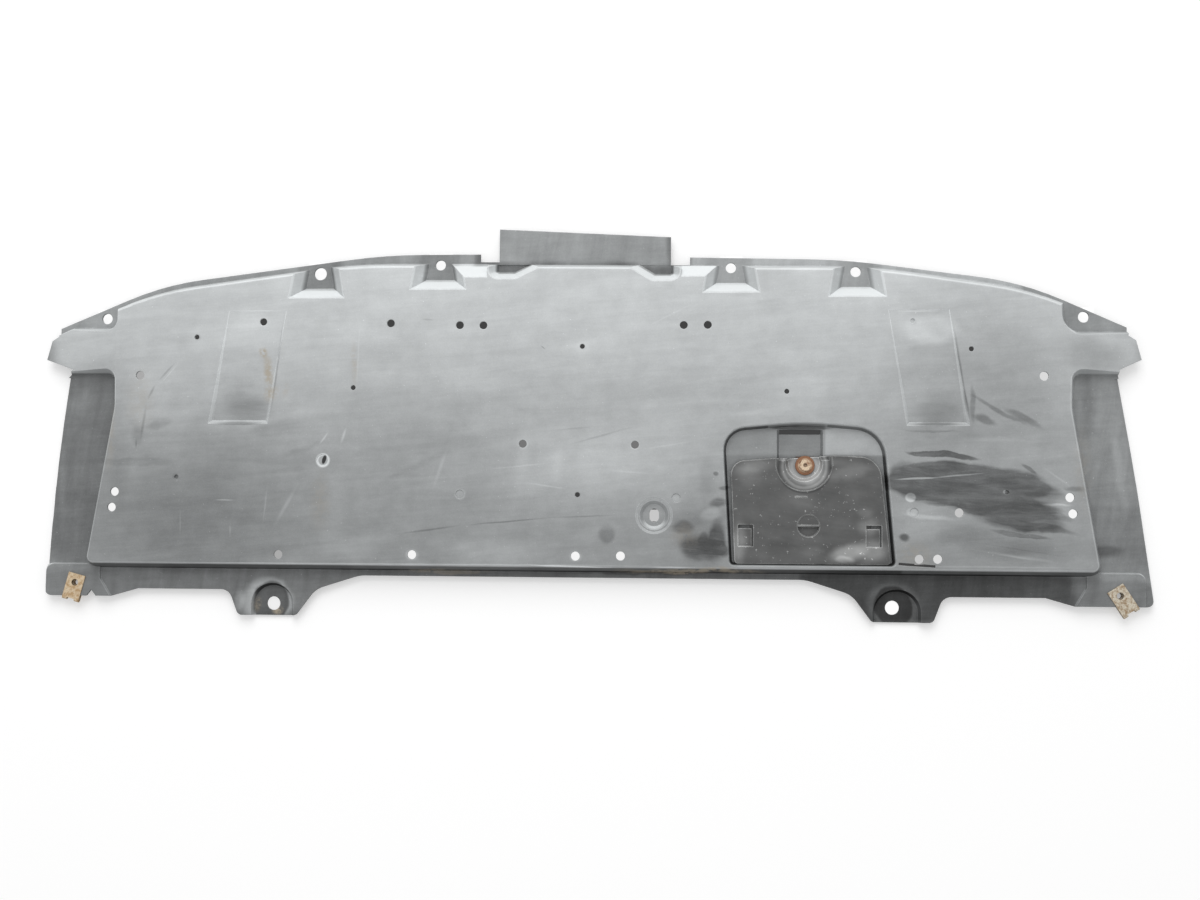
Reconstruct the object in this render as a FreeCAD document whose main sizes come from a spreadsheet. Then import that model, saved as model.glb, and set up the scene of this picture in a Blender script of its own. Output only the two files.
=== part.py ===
import FreeCAD, Part
import math
import os
import re
import Sketcher

# Engine splash shield, lying with its road face up.
# The origin is under the middle, x runs to the right, y to the curved front lip, z up out of the road face.
# Driving sizes in millimetres, degrees and shares of the half width, each one a cell of the sheet.
SIZES = {
    # the moulded sheet and its levels
    "wall": "2.5",
    "flange_top": "8",
    "panel_top": "24",
    "draft": "20",
    "panel_rim_round": "3",
    "side_roll": "7",
    "side_overlap": "4",
    # outer outline, each place counted inward from the one that it names in PLACES
    "half_width": "565.5",
    "lip_front": "172",
    "rear_edge": "156.5",
    "corner_round": "8",
    "corner_drop": "23.5",
    "left_corner_inset": "7",
    "right_corner_inset": "-1.5",
    "left_waist_inset": "12.5",
    "right_waist_inset": "14.5",
    "side_waist_run": "122",
    "side_waist_round": "2000",
    "left_front_inset": "26",
    "right_front_inset": "32",
    "side_front_drop": "8",
    "wing_root_inset": "33.5",
    "wing_root_drop": "10.5",
    "wing_tip_inset": "9.5",
    "wing_tip_drop": "19.5",
    "left_wing_reach": "6",
    "right_wing_reach": "-1",
    "wing_corner_inset": "15",
    "wing_corner_drop": "13.5",
    "lip_end_inset": "22.5",
    "lip_end_drop": "74.5",
    "lip_end_step": "4.5",
    "lip_knee_share": "0.777",
    "lip_knee_drop": "28.6",
    "lip_knee_round": "300",
    "right_lip_flat_share": "0.463",
    "left_lip_flat_share": "0.363",
    "left_lip_drop": "-2",
    "right_lip_drop": "2",
    "left_lip_sag": "0",
    "right_lip_sag": "3",
    "lip_flat_round": "600",
    "tab_half_width": "88",
    "left_tab_reach": "28",
    "right_tab_reach": "19",
    "notch_width": "19.5",
    "notch_depth": "8",
    # rear edge with its two ears
    "ear_inset": "251",
    "left_ear_shift": "4",
    "right_ear_shift": "0",
    "ear_root_run": "46",
    "ear_root_round": "40",
    "ear_shoulder_run": "20",
    "ear_shoulder_drop": "14.5",
    "ear_shoulder_round": "25",
    "ear_inner_width": "24.5",
    "ear_outer_width": "35.5",
    "ear_length": "41.5",
    "ear_corner_round": "6",
    "rear_step_run": "10",
    "rear_step_drop": "15.5",
    "rear_step_round": "12",
    "rear_slope_run": "28",
    "rear_slope_end_inset": "77.5",
    "vee_inset": "57",
    "vee_half_width": "5",
    "vee_depth": "6.5",
    # raised main panel, at its top
    "panel_lip": "14.5",
    "panel_flat_share": "0.5128",
    "right_panel_step": "3",
    "left_panel_flat_share": "0.42",
    "left_panel_step": "2",
    "panel_flat_round": "600",
    "panel_knee_share": "0.787",
    "panel_knee_drop": "26",
    "panel_knee_round": "300",
    "panel_overhang": "34.5",
    "panel_end_drop": "94.5",
    "wing_rear_gap": "1",
    "wing_inner_inset": "81.5",
    "wing_inner_round": "12",
    "panel_waist_inset": "82.5",
    "panel_waist_run": "40",
    "panel_waist_round": "60",
    "panel_rear_inset": "56.5",
    "rear_flange": "11.5",
    "panel_corner_round": "6",
    "wing_slope": "9.5",
    # recess behind the centre tab
    "tab_bay_half_width": "98.5",
    "tab_bay_depth": "10",
    "tab_bay_inner_x": "69",
    "tab_bay_crest_x": "45",
    "tab_bay_round": "12",
    "tab_bay_corner_round": "11",
    "tab_bay_draft": "32",
    "right_bay_step": "4.5",
    "left_bay_step": "2",
    "ramp_gap": "0.5",
    # bolt pockets in the front edge
    "inner_pocket_x": "149",
    "inner_pocket_inset": "11",
    "inner_pocket_skew": "2",
    "outer_pocket_share": "0.4858",
    "outer_pocket_inset": "17.5",
    "pocket_half_width": "29.5",
    "pocket_mouth_half_width": "23",
    "pocket_back": "28",
    "pocket_mouth": "8",
    "pocket_draft": "38",
    "pocket_bore": "10.5",
    "worn_bore": "13",
    "bulge_round": "13",
    # corner pockets
    "left_pocket_inset": "83",
    "left_pocket_depth": "5",
    "right_pocket_inset": "91",
    "right_pocket_round": "22",
    "right_pocket_depth": "10",
    "left_pocket_round": "14",
    "corner_hole_inset": "65.5",
    "corner_hole_rise": "10.5",
    "corner_bore": "11",
    # rear ears
    "ear_half_width": "24",
    "left_ear_half_width": "22",
    "right_ear_hole_rise": "2.5",
    "ear_pocket_gap": "8.5",
    "ear_pocket_draft": "25",
    "ear_pocket_play": "0.5",
    "ear_hole_shift": "4",
    "ear_hole_inset": "12",
    "ear_bore": "14",
    # rear corner pads
    "pad_rise": "2",
    "pad_length": "32.5",
    "pad_edge": "1",
    "pad_inner_inset": "65.5",
    "pad_ridge_drop": "18",
    "pad_side_inset": "9",
    "pad_draft": "30",
    # two long sloping pads sunk in the panel
    "sink_inset": "44",
    "sink_length": "116",
    "sink_front_x": "305",
    "sink_rear_x": "322.5",
    "sink_width": "60",
    "sink_flare": "2",
    "sink_draft": "50",
    "sink_front_depth": "0.3",
    "sink_rear_depth": "3",
    "sink_bore": "7.5",
    "sink_hole_x": "329",
    "sink_hole_inset": "11.2",
    # stepped dimple beside the door
    "dimple_x": "72.7",
    "dimple_inset": "52",
    "dimple_rim": "18.7",
    "dimple_step_depth": "2",
    "dimple_step_round": "16.5",
    "dimple_cup_round": "14.8",
    "dimple_floor_round": "11",
    "dimple_depth": "6.5",
    "dimple_slot_width": "9.6",
    "dimple_slot_length": "13.4",
    # bay for the service door, at the panel top
    "bay_depth": "8",
    "bay_draft": "25",
    "bay_left_x": "147",
    "bay_right_x": "313",
    "bay_inset": "1.8",
    "bay_upper_left_x": "139.5",
    "bay_upper_left": "5.5",
    "bay_left_round": "24",
    "bay_apex_x": "222",
    "bay_apex": "2",
    "bay_apex_round": "300",
    "bay_upper_right_x": "301",
    "bay_upper_right": "5",
    "bay_right_round": "32",
    "bay_foot_round": "6",
    # channel, slot and access opening in the floor of the bay
    "channel_left_x": "195",
    "channel_right_x": "241",
    "channel_front": "6.5",
    "channel_depth": "3.5",
    "channel_draft": "35",
    "channel_slot": "4.5",
    "access_left_x": "168",
    "access_right_x": "288",
    "access_front": "54",
    "access_margin": "15.2",
    "access_round": "12",
    # service door, at its face
    "door_thickness": "3.5",
    "door_gap": "0.4",
    "door_left_x": "153",
    "door_right_x": "307.5",
    "door_upper_left_x": "148.8",
    "door_upper_left": "38.5",
    "door_left_round": "14",
    "door_apex_x": "236",
    "door_apex": "31.5",
    "door_apex_round": "300",
    "door_upper_right_x": "296.5",
    "door_upper_right": "34",
    "door_right_round": "22",
    "door_foot_round": "4",
    "dish_x": "222",
    "dish_y": "39.8",
    "dish_rim": "19.5",
    "dish_floor": "15.5",
    "dish_foot": "16.8",
    "dish_shoulder": "18.4",
    "dish_ring": "28",
    "dish_ring_depth": "0.8",
    "dish_flare_width": "50",
    "dish_flare_rear": "37",
    "dish_flare_depth": "1.8",
    "window_width": "15",
    "window_length": "21.5",
    "window_depth": "1.6",
    "window_slit": "1.5",
    "window_mouth": "3.5",
    "window_left_x": "164",
    "window_right_x": "290.7",
    "window_inset": "30.7",
    "pull_x": "226.3",
    "pull_inset": "40.7",
    "pull_round": "11",
    "pull_shallow": "0.9",
    "pull_deep": "3",
    "pull_bar": "1.4",
    "pull_bar_inset": "0.3",
    "dash_x": "219",
    "dash_inset": "69.4",
    "dash_length": "12",
    "dash_width": "1.4",
    "dash_rise": "0.5",
    # screw and spring steel clip nuts for it
    "screw_x": "223",
    "screw_y": "42.2",
    "screw_shank": "5.8",
    "screw_flange": "19.5",
    "screw_flange_thickness": "1.6",
    "screw_flange_bevel": "0.5",
    "screw_head": "10.5",
    "screw_head_height": "3.6",
    "screw_socket": "4",
    "screw_socket_depth": "1.8",
    "screw_length": "13",
    "screw_point": "3",
    "screw_tip": "3",
    "screw_hole_play": "1.2",
    "clip_width": "18",
    "clip_sheet": "1",
    "clip_nose": "9",
    "clip_play": "0.1",
    "clip_strip": "5",
    "clip_hole": "7",
    "clip_barrel": "9",
    "clip_barrel_length": "4",
    "clip_thread": "5.8",
    "clip_panel_hole": "9.5",
    "door_clip_grip": "12.5",
    "left_clip_inset": "40",
    "left_clip_reach": "13.5",
    "left_clip_grip": "16.8",
    "left_clip_turn": "15",
    "right_clip_inset": "34",
    "right_clip_reach": "11",
    "right_clip_grip": "19",
    "right_clip_turn": "33",
    # plain holes through the panel
    "large_bore": "8",
    "pale_bore": "9",
    "small_bore": "5",
    "dent_bore": "4.5",
    "blind_bore": "9",
    "blind_depth": "0.8",
    "dent_depth": "1.6",
    "mark_bore": "12",
    "mark_x": "264.8",
    "mark_y": "39.6",
    # split along the rear edge of the panel
    "split_x": "314",
    "split_inset": "4.5",
    "split_length": "36",
    "split_width": "2.4",
    "split_turn": "3.5",
    # how far cutting shapes run past what they cut
    "over": "6",
}

# Places that follow from those sizes, counted from the half width, the front lip and the rear edge
PLACES = {
    "panel_front": "lip_front - panel_lip",
    "notch_floor": "lip_front - notch_depth",
    "lip_knee": "lip_front - lip_knee_drop",
    "lip_end": "lip_front - lip_end_drop",
    "wing_corner": "lip_end - wing_corner_drop",
    "wing_tip": "wing_corner - wing_tip_drop",
    "wing_root": "wing_tip - wing_root_drop",
    "side_front": "wing_root - side_front_drop",
    "lip_knee_x": "lip_knee_share * half_width",
    "corner_rear": "rear_edge + corner_drop",
    "side_waist_rear": "corner_rear - side_waist_run",
    "ear_x": "half_width - ear_inset",
    "ear_rear": "rear_edge + ear_length",
    "ear_shoulder": "rear_edge + ear_shoulder_drop",
    "rear_step": "rear_edge + rear_step_drop",
    "rear_slope_end_x": "half_width - rear_slope_end_inset",
    "rear_slope_x": "rear_slope_end_x - rear_slope_run",
    "vee_x": "half_width - vee_inset",
    "panel_flat_x": "panel_flat_share * half_width",
    "panel_knee_x": "panel_knee_share * half_width",
    "panel_knee": "panel_front - panel_knee_drop",
    "panel_end_x": "half_width + panel_overhang",
    "panel_end": "panel_front - panel_end_drop",
    "wing_rear": "wing_root + wing_rear_gap",
    "wing_inner_x": "half_width - wing_inner_inset",
    "panel_waist_x": "half_width - panel_waist_inset",
    "panel_waist": "wing_rear - panel_waist_run",
    "panel_rear_x": "half_width - panel_rear_inset",
    "panel_rear": "rear_edge - rear_flange",
    "tab_bay_back": "panel_front - tab_bay_depth",
    "ramp_foot": "notch_floor + ramp_gap",
    "inner_pocket": "lip_front - inner_pocket_inset",
    "outer_pocket_x": "outer_pocket_share * half_width",
    "outer_pocket": "lip_front - outer_pocket_inset",
    "corner_hole_x": "half_width - corner_hole_inset",
    "corner_hole": "lip_end + corner_hole_rise",
    "ear_pocket_front": "rear_edge + ear_pocket_gap",
    "ear_hole": "ear_rear - ear_hole_inset",
    "pad_front": "corner_rear - pad_length",
    "pad_inner_x": "half_width - pad_inner_inset",
    "pad_ridge": "corner_rear - pad_ridge_drop",
    "sink_front": "panel_front - sink_inset",
    "sink_rear": "sink_length - sink_front",
    "sink_hole": "sink_front - sink_hole_inset",
    "dimple_y": "panel_rear - dimple_inset",
    "bay_rear": "panel_rear - bay_inset",
    "access_rear": "bay_rear - access_margin",
    "door_rear": "bay_rear - (bay_depth - door_thickness) * tan(bay_draft) - door_gap",
    "window_y": "bay_rear - window_inset",
    "pull_y": "bay_rear - pull_inset",
    "dash_y": "bay_rear - dash_inset",
    "split_y": "panel_rear - split_inset",
    "left_clip_x": "half_width - left_clip_inset",
    "left_clip": "corner_rear - left_clip_reach",
    "right_clip_x": "half_width - right_clip_inset",
    "right_clip": "corner_rear - right_clip_reach",
}

doc = FreeCAD.newDocument("splash_shield")
sheet = doc.addObject("Spreadsheet::Sheet", "sizes")
for row, (alias, text) in enumerate(SIZES.items(), 1):
    sheet.set(f"A{row}", text)
    sheet.setAlias(f"A{row}", alias)
doc.recompute()

UP = FreeCAD.Vector(0, 0, 1)
NEAR = 0.001


# Expressions: a text names sizes and places, and this turns them into cells of the sheet
def cells(text):
    def cell(word):
        if word[0] in PLACES:
            return f"({cells(PLACES[word[0]])})"
        return "sizes." + word[0] if word[0] in SIZES else word[0]

    return re.sub(r"[a-z][a-z_]*", cell, str(text))


def value(text):
    return float(sheet.evalExpression(cells(text)))


def bind(item, **properties):
    for name, text in properties.items():
        item.setExpression(name.replace("__", "."), cells(text))
    return item


def at(item, x="0", y="0", z="0"):
    return bind(item, Placement__Base__x=x, Placement__Base__y=y, Placement__Base__z=z)


# Outlines: each corner is x, y and the radius that rounds it, or None
def mirrored(right, left=None):
    return right + [(f"-({x})", y, radius) for x, y, radius in reversed(left or right)]


def moved(points, sides, distance):
    shifted = []
    for k, point in enumerate(points):
        before = sides[k - 1]
        after = sides[k]
        outward = FreeCAD.Vector(before.y, -before.x, 0) + FreeCAD.Vector(after.y, -after.x, 0)
        outward.normalize()
        stretch = outward.dot(FreeCAD.Vector(after.y, -after.x, 0))
        shifted.append(point + outward * (distance / stretch))
    return shifted


def arc(centre, radius, start, end):
    angles = [math.atan2(p.y - centre.y, p.x - centre.x) for p in (start, end)]
    return Part.ArcOfCircle(Part.Circle(centre, UP, radius), *angles)


def draw_outline(sketch, corners, grow=None):
    """Draw a closed outline, counterclockwise, moved outward by grow, with every size bound to the sheet."""
    count = len(corners)
    given = [FreeCAD.Vector(value(x), value(y), 0) for x, y, radius in corners]
    sides = [(given[(k + 1) % count] - given[k]).normalize() for k in range(count)]
    distance = value(grow) if grow else 0
    points = moved(given, sides, distance)
    turns = [sides[k - 1].cross(sides[k]).z for k in range(count)]
    rounds = {}
    leave = list(points)
    reach = list(points)
    for k, (x, y, radius) in enumerate(corners):
        if not radius:
            continue
        text = radius if not grow else f"({radius}) + ({grow})" if turns[k] > 0 else f"({radius}) - ({grow})"
        size = value(text)
        bend = math.acos(max(-1, min(1, sides[k - 1].dot(sides[k]))))
        run = size * math.tan(bend / 2)
        reach[k] = points[k] - sides[k - 1] * run
        leave[k] = points[k] + sides[k] * run
        inward = FreeCAD.Vector(-sides[k].y, sides[k].x, 0) * (1 if turns[k] > 0 else -1)
        rounds[k] = (text, size, leave[k] + inward * size, turns[k] > 0)
    lines = [Part.LineSegment(leave[k], reach[(k + 1) % count]) for k in range(count)]
    line_ids = list(sketch.addGeometry(lines, False))
    bounds = []
    expressions = []

    def fix(kind, *rest, text):
        expressions.append((len(bounds), text))
        bounds.append(Sketcher.Constraint(kind, *rest, value(text)))

    point_ids = list(sketch.addGeometry([Part.Point(p) for p in given], True))
    for k, (x, y, radius) in enumerate(corners):
        fix("DistanceX", -1, 1, point_ids[k], 1, text=x)
        fix("DistanceY", -1, 1, point_ids[k], 1, text=y)
    if grow:
        guides = [Part.LineSegment(given[k], given[(k + 1) % count]) for k in range(count)]
        guide_ids = list(sketch.addGeometry(guides, True))
        for k in range(count):
            bounds.append(Sketcher.Constraint("Coincident", guide_ids[k], 1, point_ids[k], 1))
            bounds.append(Sketcher.Constraint("Coincident", guide_ids[k], 2, point_ids[(k + 1) % count], 1))
            bounds.append(Sketcher.Constraint("Parallel", guide_ids[k], line_ids[k]))
            fix("Distance", line_ids[k], 1, guide_ids[k], text=grow if distance > 0 else f"-({grow})")
    else:
        for k in range(count):
            if k in rounds:
                bounds.append(Sketcher.Constraint("PointOnObject", point_ids[k], 1, line_ids[k - 1]))
                bounds.append(Sketcher.Constraint("PointOnObject", point_ids[k], 1, line_ids[k]))
            else:
                bounds.append(Sketcher.Constraint("Coincident", line_ids[k], 1, point_ids[k], 1))
    for k in range(count):
        if k not in rounds:
            bounds.append(Sketcher.Constraint("Coincident", line_ids[k - 1], 2, line_ids[k], 1))
            continue
        text, size, centre, outside = rounds[k]
        ends = (reach[k], leave[k]) if outside else (leave[k], reach[k])
        first, last = (1, 2) if outside else (2, 1)
        corner = sketch.addGeometry(arc(centre, size, *ends), False)
        bounds.append(Sketcher.Constraint("Tangent", line_ids[k - 1], 2, corner, first))
        bounds.append(Sketcher.Constraint("Tangent", corner, last, line_ids[k], 1))
        fix("Radius", corner, text=text)
    sketch.addConstraint(bounds)
    for index, text in expressions:
        sketch.setExpression(f"Constraints[{index}]", cells(text))


def pad(name, corners, level, height, draft=None, grow=None, down=False):
    """A body with one outline at a level, padded up or down, its walls leaning outward by the draft."""
    body = doc.addObject("PartDesign::Body", name)
    sketch = body.newObject("Sketcher::SketchObject", name + "_outline")
    plane = [item for item in body.Origin.OriginFeatures if item.Role == "XY_Plane"][0]
    sketch.AttachmentSupport = [(plane, "")]
    sketch.MapMode = "FlatFace"
    bind(sketch, AttachmentOffset__Base__z=level)
    draw_outline(sketch, corners, grow)
    feature = body.newObject("PartDesign::Pad", name + "_pad")
    feature.Profile = sketch
    feature.Reversed = down
    bind(feature, Length=height)
    if draft:
        bind(feature, TaperAngle=draft)
    body.Tip = feature
    doc.recompute()
    return body


def round_edges(body, name, radius, level, across=True):
    """Round the edges of a body at a level, with or without those that cross from side to side."""
    height = value(level)
    names = []
    for number, edge in enumerate(body.Tip.Shape.Edges, 1):
        points = [vertex.Point for vertex in edge.Vertexes]
        crosses = points[0].x * points[-1].x < 0
        if all(abs(p.z - height) < NEAR for p in points) and (across or not crosses):
            names.append(f"Edge{number}")
    base = body.Tip
    feature = body.newObject("PartDesign::Fillet", name)
    feature.Base = (base, names)
    bind(feature, Radius=radius)
    body.Tip = feature
    doc.recompute()
    return body


def thin(draft):
    """How far a wall's hidden side stands out at its hidden level, so that it is one wall thick."""
    return f"wall * (1 - sin({draft})) / cos({draft})"


def raised(name, corners, top, bottom, draft):
    """A raised shape, given by its top rim, and the hollow under it."""
    solid = pad(name, corners, top, f"({top}) - ({bottom})", draft, down=True)
    hollow = pad(name + "_hollow", corners, f"({top}) - wall", f"({top}) - wall - ({bottom})", draft,
                 grow=f"-({thin(draft)})", down=True)
    return solid, hollow


def sunk(name, corners, rim, floor, draft):
    """A sunken shape, given by its rim, and the same shape one wall larger."""
    inset = f"(({rim}) - ({floor})) * tan({draft})"
    rise = f"({rim}) - ({floor}) + over"
    cut = pad(name, corners, floor, rise, draft, grow=f"-({inset})")
    skin = pad(name + "_skin", corners, f"({floor}) - wall", f"{rise} + wall", draft,
               grow=f"-({inset}) + {thin(draft)}")
    return cut, skin


def sunk_sharp(name, corners, rim, floor, draft):
    """The same, drawn at the rim, so that its corners stay sharp there."""
    depth = f"({rim}) - ({floor}) + over"
    spread = f"over * tan({draft})"
    cut = pad(name, corners, f"({rim}) + over", depth, f"-({draft})", grow=spread, down=True)
    skin = pad(name + "_skin", corners, f"({rim}) + over", f"{depth} + wall", f"-({draft})",
               grow=f"{spread} + wall / cos({draft})", down=True)
    return cut, skin


def box(name, length, width, height, x, y, z, turn=None):
    item = doc.addObject("Part::Box", name)
    bind(item, Length=length, Width=width, Height=height)
    at(item, x, y, z)
    if turn:
        item.Placement.Rotation = FreeCAD.Rotation(turn[0], 1)
        bind(item, Placement__Rotation__Angle=turn[1])
    return item


def cylinder(name, diameter, height, x, y, z):
    item = doc.addObject("Part::Cylinder", name)
    bind(item, Radius=f"({diameter}) / 2", Height=height)
    return at(item, x, y, z)


def cone(name, lower, upper, height, x, y, z):
    item = doc.addObject("Part::Cone", name)
    bind(item, Radius1=lower, Radius2=upper, Height=height)
    return at(item, x, y, z)


def fuse(name, shapes):
    item = doc.addObject("Part::MultiFuse", name)
    item.Shapes = shapes
    return item


def common(name, shapes):
    item = doc.addObject("Part::MultiCommon", name)
    item.Shapes = shapes
    return item


def cut(name, base, tool):
    item = doc.addObject("Part::Cut", name)
    item.Base = base
    item.Tool = tool
    return item


def mirror(name, source):
    item = doc.addObject("Part::Mirroring", name)
    item.Source = source
    item.Normal = FreeCAD.Vector(1, 0, 0)
    return item


def both_sides(solid):
    return [solid, mirror(solid.Name + "_left", solid)]


# The trimmed outline of the whole sheet
def outline_half(side, vee):
    ear = f"ear_x + {side}_ear_shift"
    inner = f"{ear} - ear_inner_width"
    outer = f"{ear} + ear_outer_width"
    corner = f"half_width - {side}_corner_inset"
    reach = f"{side}_wing_reach"
    drop = f"{side}_lip_drop"
    return [
        (f"{inner} - ear_shoulder_run - ear_root_run", "-rear_edge", "ear_root_round"),
        (f"{inner} - ear_shoulder_run", "-ear_shoulder", "ear_shoulder_round"),
        (inner, "-ear_rear", "ear_corner_round"),
        (outer, "-ear_rear", "ear_corner_round"),
        (f"{outer} + rear_step_run", "-rear_step", "rear_step_round"),
        ("rear_slope_x", "-rear_step", None),
        ("rear_slope_end_x", "-corner_rear", None),
    ] + vee + [
        (corner, "-corner_rear", "corner_round"),
        (f"half_width - {side}_waist_inset", "-side_waist_rear", "side_waist_round"),
        (f"half_width - {side}_front_inset", "side_front", None),
        ("half_width - wing_root_inset", "wing_root", None),
        (f"half_width - wing_tip_inset + {reach}", "wing_tip", None),
        (f"half_width - wing_corner_inset + {reach}", "wing_corner", None),
        (f"half_width - lip_end_inset + {reach}", "wing_corner + lip_end_step", None),
        (f"half_width - lip_end_inset + {reach}", "lip_end", None),
        ("lip_knee_x", "lip_knee", "lip_knee_round"),
        (f"{side}_lip_flat_share * half_width", f"lip_front - {drop} - {side}_lip_sag", "lip_flat_round"),
        ("tab_half_width + notch_width", f"lip_front - {drop}", None),
        ("tab_half_width + notch_width", f"notch_floor - {drop}", None),
        ("tab_half_width", f"notch_floor - {drop}", None),
        ("tab_half_width", f"lip_front + {side}_tab_reach", None),
    ]


def outer_outline():
    vee = [
        ("vee_x - vee_half_width", "-corner_rear", None),
        ("vee_x", "vee_depth - corner_rear", None),
        ("vee_x + vee_half_width", "-corner_rear", None),
    ]
    halves = outline_half("right", []), outline_half("left", vee)
    return pad("trim", mirrored(*halves), "-over", "panel_top + 2 * over")


# The flange: a flat sheet whose side rims roll down to the ground
def side_slab(name, level, height, grow, roll):
    rear = "ear_rear + over"
    halves = []
    for side in ("right", "left"):
        slope = f"({side}_waist_inset - {side}_corner_inset) / side_waist_run"
        corner = f"half_width - {side}_corner_inset"
        halves.append([
            (f"{corner} + {slope} * ({rear} - corner_rear)", f"-({rear})", None),
            (f"half_width - {side}_waist_inset", "-side_waist_rear", "side_waist_round"),
            (f"half_width - {side}_front_inset", "side_front + side_overlap", None),
        ])
    body = pad(name, mirrored(*halves), level, height, grow=grow)
    return round_edges(body, name + "_roll", roll, f"({level}) + ({height})", across=False)


def flange():
    slab = side_slab("side_slab", "0", "flange_top", None, "side_roll")
    hollow = side_slab("side_hollow", "-over", "flange_top - wall + over", "-wall", "side_roll - wall")
    front = box("front_slab", "2 * panel_end_x", "lip_front + left_tab_reach + over - side_front", "wall",
                "-panel_end_x", "side_front", "flange_top - wall")
    front_hollow = box("front_hollow", "2 * panel_end_x", "lip_front + left_tab_reach + over - side_front",
                       "flange_top - wall + over", "-panel_end_x", "side_front + side_overlap", "-over")
    rear_hollow = box("rear_hollow", "2 * panel_waist_x", "over", "flange_top - wall + over",
                      "-panel_waist_x", "-(ear_rear + over)", "-over")
    return fuse("flange_solid", [slab, front]), fuse("flange_hollow", [hollow, front_hollow, rear_hollow])


# The raised main panel with its sloping wings
def panel():
    half = [
        ("panel_rear_x", "-panel_rear", "panel_corner_round"),
        ("panel_waist_x", "panel_waist", "panel_waist_round"),
        ("wing_inner_x", "wing_rear", "wing_inner_round"),
        ("panel_end_x", "wing_rear", None),
        ("panel_end_x", "panel_end", None),
        ("panel_knee_x", "panel_knee", "panel_knee_round"),
    ]
    right = half + [("panel_flat_x", "panel_front - right_panel_step", "panel_flat_round")]
    left = half + [("left_panel_flat_share * half_width", "panel_front + left_panel_step",
                    "panel_flat_round")]
    solid, hollow = raised("panel", mirrored(right, left), "panel_top", "0", "draft")
    return round_edges(solid, "panel_rim", "panel_rim_round", "panel_top"), hollow


def wing_cut(name, drop):
    right = box(name, "panel_end_x", "panel_end_x", "3 * over",
                "wing_inner_x", "wing_rear - over", f"panel_top - ({drop})",
                turn=(FreeCAD.Vector(0, 1, 0), "wing_slope"))
    return both_sides(right)


def front_pockets():
    cuts, skins = [], []
    places = (("inner_pocket_x", "(inner_pocket - inner_pocket_skew)"), ("outer_pocket_x", "outer_pocket"),
              ("-inner_pocket_x", "(inner_pocket + inner_pocket_skew)"),
              ("-(outer_pocket_x)", "outer_pocket"))
    taper = "(pocket_half_width - pocket_mouth_half_width) / (pocket_back + pocket_mouth)"
    for number, (x, y) in enumerate(places, 1):
        front_half_width = f"(pocket_mouth_half_width - {taper} * pocket_back)"
        rim = [
            (f"{x} - pocket_half_width", f"{y} - pocket_back", None),
            (f"{x} + pocket_half_width", f"{y} - pocket_back", None),
            (f"{x} + {front_half_width}", f"{y} + pocket_mouth + pocket_back", None),
            (f"{x} - {front_half_width}", f"{y} + pocket_mouth + pocket_back", None),
        ]
        pocket, skin = sunk_sharp(f"bolt_pocket_{number}", rim, "panel_top", "flange_top", "pocket_draft")
        cuts.append(pocket)
        skins.append(skin)
    return cuts, skins


def corner_pockets():
    cuts, skins = [], []
    for side in ("right", "left"):
        inner = f"half_width - {side}_pocket_inset"
        back = f"lip_end - {side}_pocket_depth"
        rim = [
            (inner, back, f"{side}_pocket_round"),
            ("panel_end_x + 2 * over", back, None),
            ("panel_end_x + 2 * over", "lip_front", None),
            (inner, "lip_front", None),
        ]
        pocket, skin = sunk(side + "_corner_pocket", rim, "panel_top", "flange_top", "draft")
        cuts.append(pocket if side == "right" else mirror(side + "_pocket", pocket))
        skins.append(skin if side == "right" else mirror(side + "_pocket_skin", skin))
    return cuts, skins


def tab_bays():
    cuts, skins = [], []
    for side, back in (("right", "tab_bay_back - right_bay_step"), ("left", "tab_bay_back - left_bay_step")):
        slant = f"(tab_bay_inner_x - tab_bay_crest_x) / (panel_front - ({back}))"
        rim = [
            ("tab_bay_inner_x", back, "tab_bay_round"),
            ("tab_bay_half_width", back, "tab_bay_corner_round"),
            ("tab_bay_half_width", "lip_front", None),
            (f"tab_bay_inner_x - {slant} * (lip_front - ({back}))", "lip_front", None),
        ]
        bay, skin = sunk(side + "_tab_bay", rim, "panel_top", "flange_top", "tab_bay_draft")
        cuts.append(bay if side == "right" else mirror(side + "_bay", bay))
        skins.append(skin if side == "right" else mirror(side + "_bay_skin", skin))
    return cuts, skins


def ramp(name, drop):
    """A long slope beside the tab, from the panel down to the lip, or its underside."""
    back = f"({drop}) * tan(atan((panel_top - flange_top) / (ramp_foot - tab_bay_back)) / 2)"
    body = doc.addObject("PartDesign::Body", name)
    sketch = body.newObject("Sketcher::SketchObject", name + "_outline")
    plane = [item for item in body.Origin.OriginFeatures if item.Role == "YZ_Plane"][0]
    sketch.AttachmentSupport = [(plane, "")]
    sketch.MapMode = "FlatFace"
    bind(sketch, AttachmentOffset__Base__z="tab_bay_half_width")
    high = f"panel_top - ({drop})"
    low = f"flange_top - ({drop})"
    draw_outline(sketch, [
        (f"tab_bay_back - {back}", high, None),
        (f"ramp_foot - {back}", low, None),
        ("lip_front + over", low, None),
        ("lip_front + over", "panel_top + over", None),
        (f"tab_bay_back - {back}", "panel_top + over", None),
    ])
    feature = body.newObject("PartDesign::Pad", name + "_pad")
    feature.Profile = sketch
    bind(feature, Length="inner_pocket_x - tab_bay_half_width")
    body.Tip = feature
    doc.recompute()
    return both_sides(body)


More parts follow.
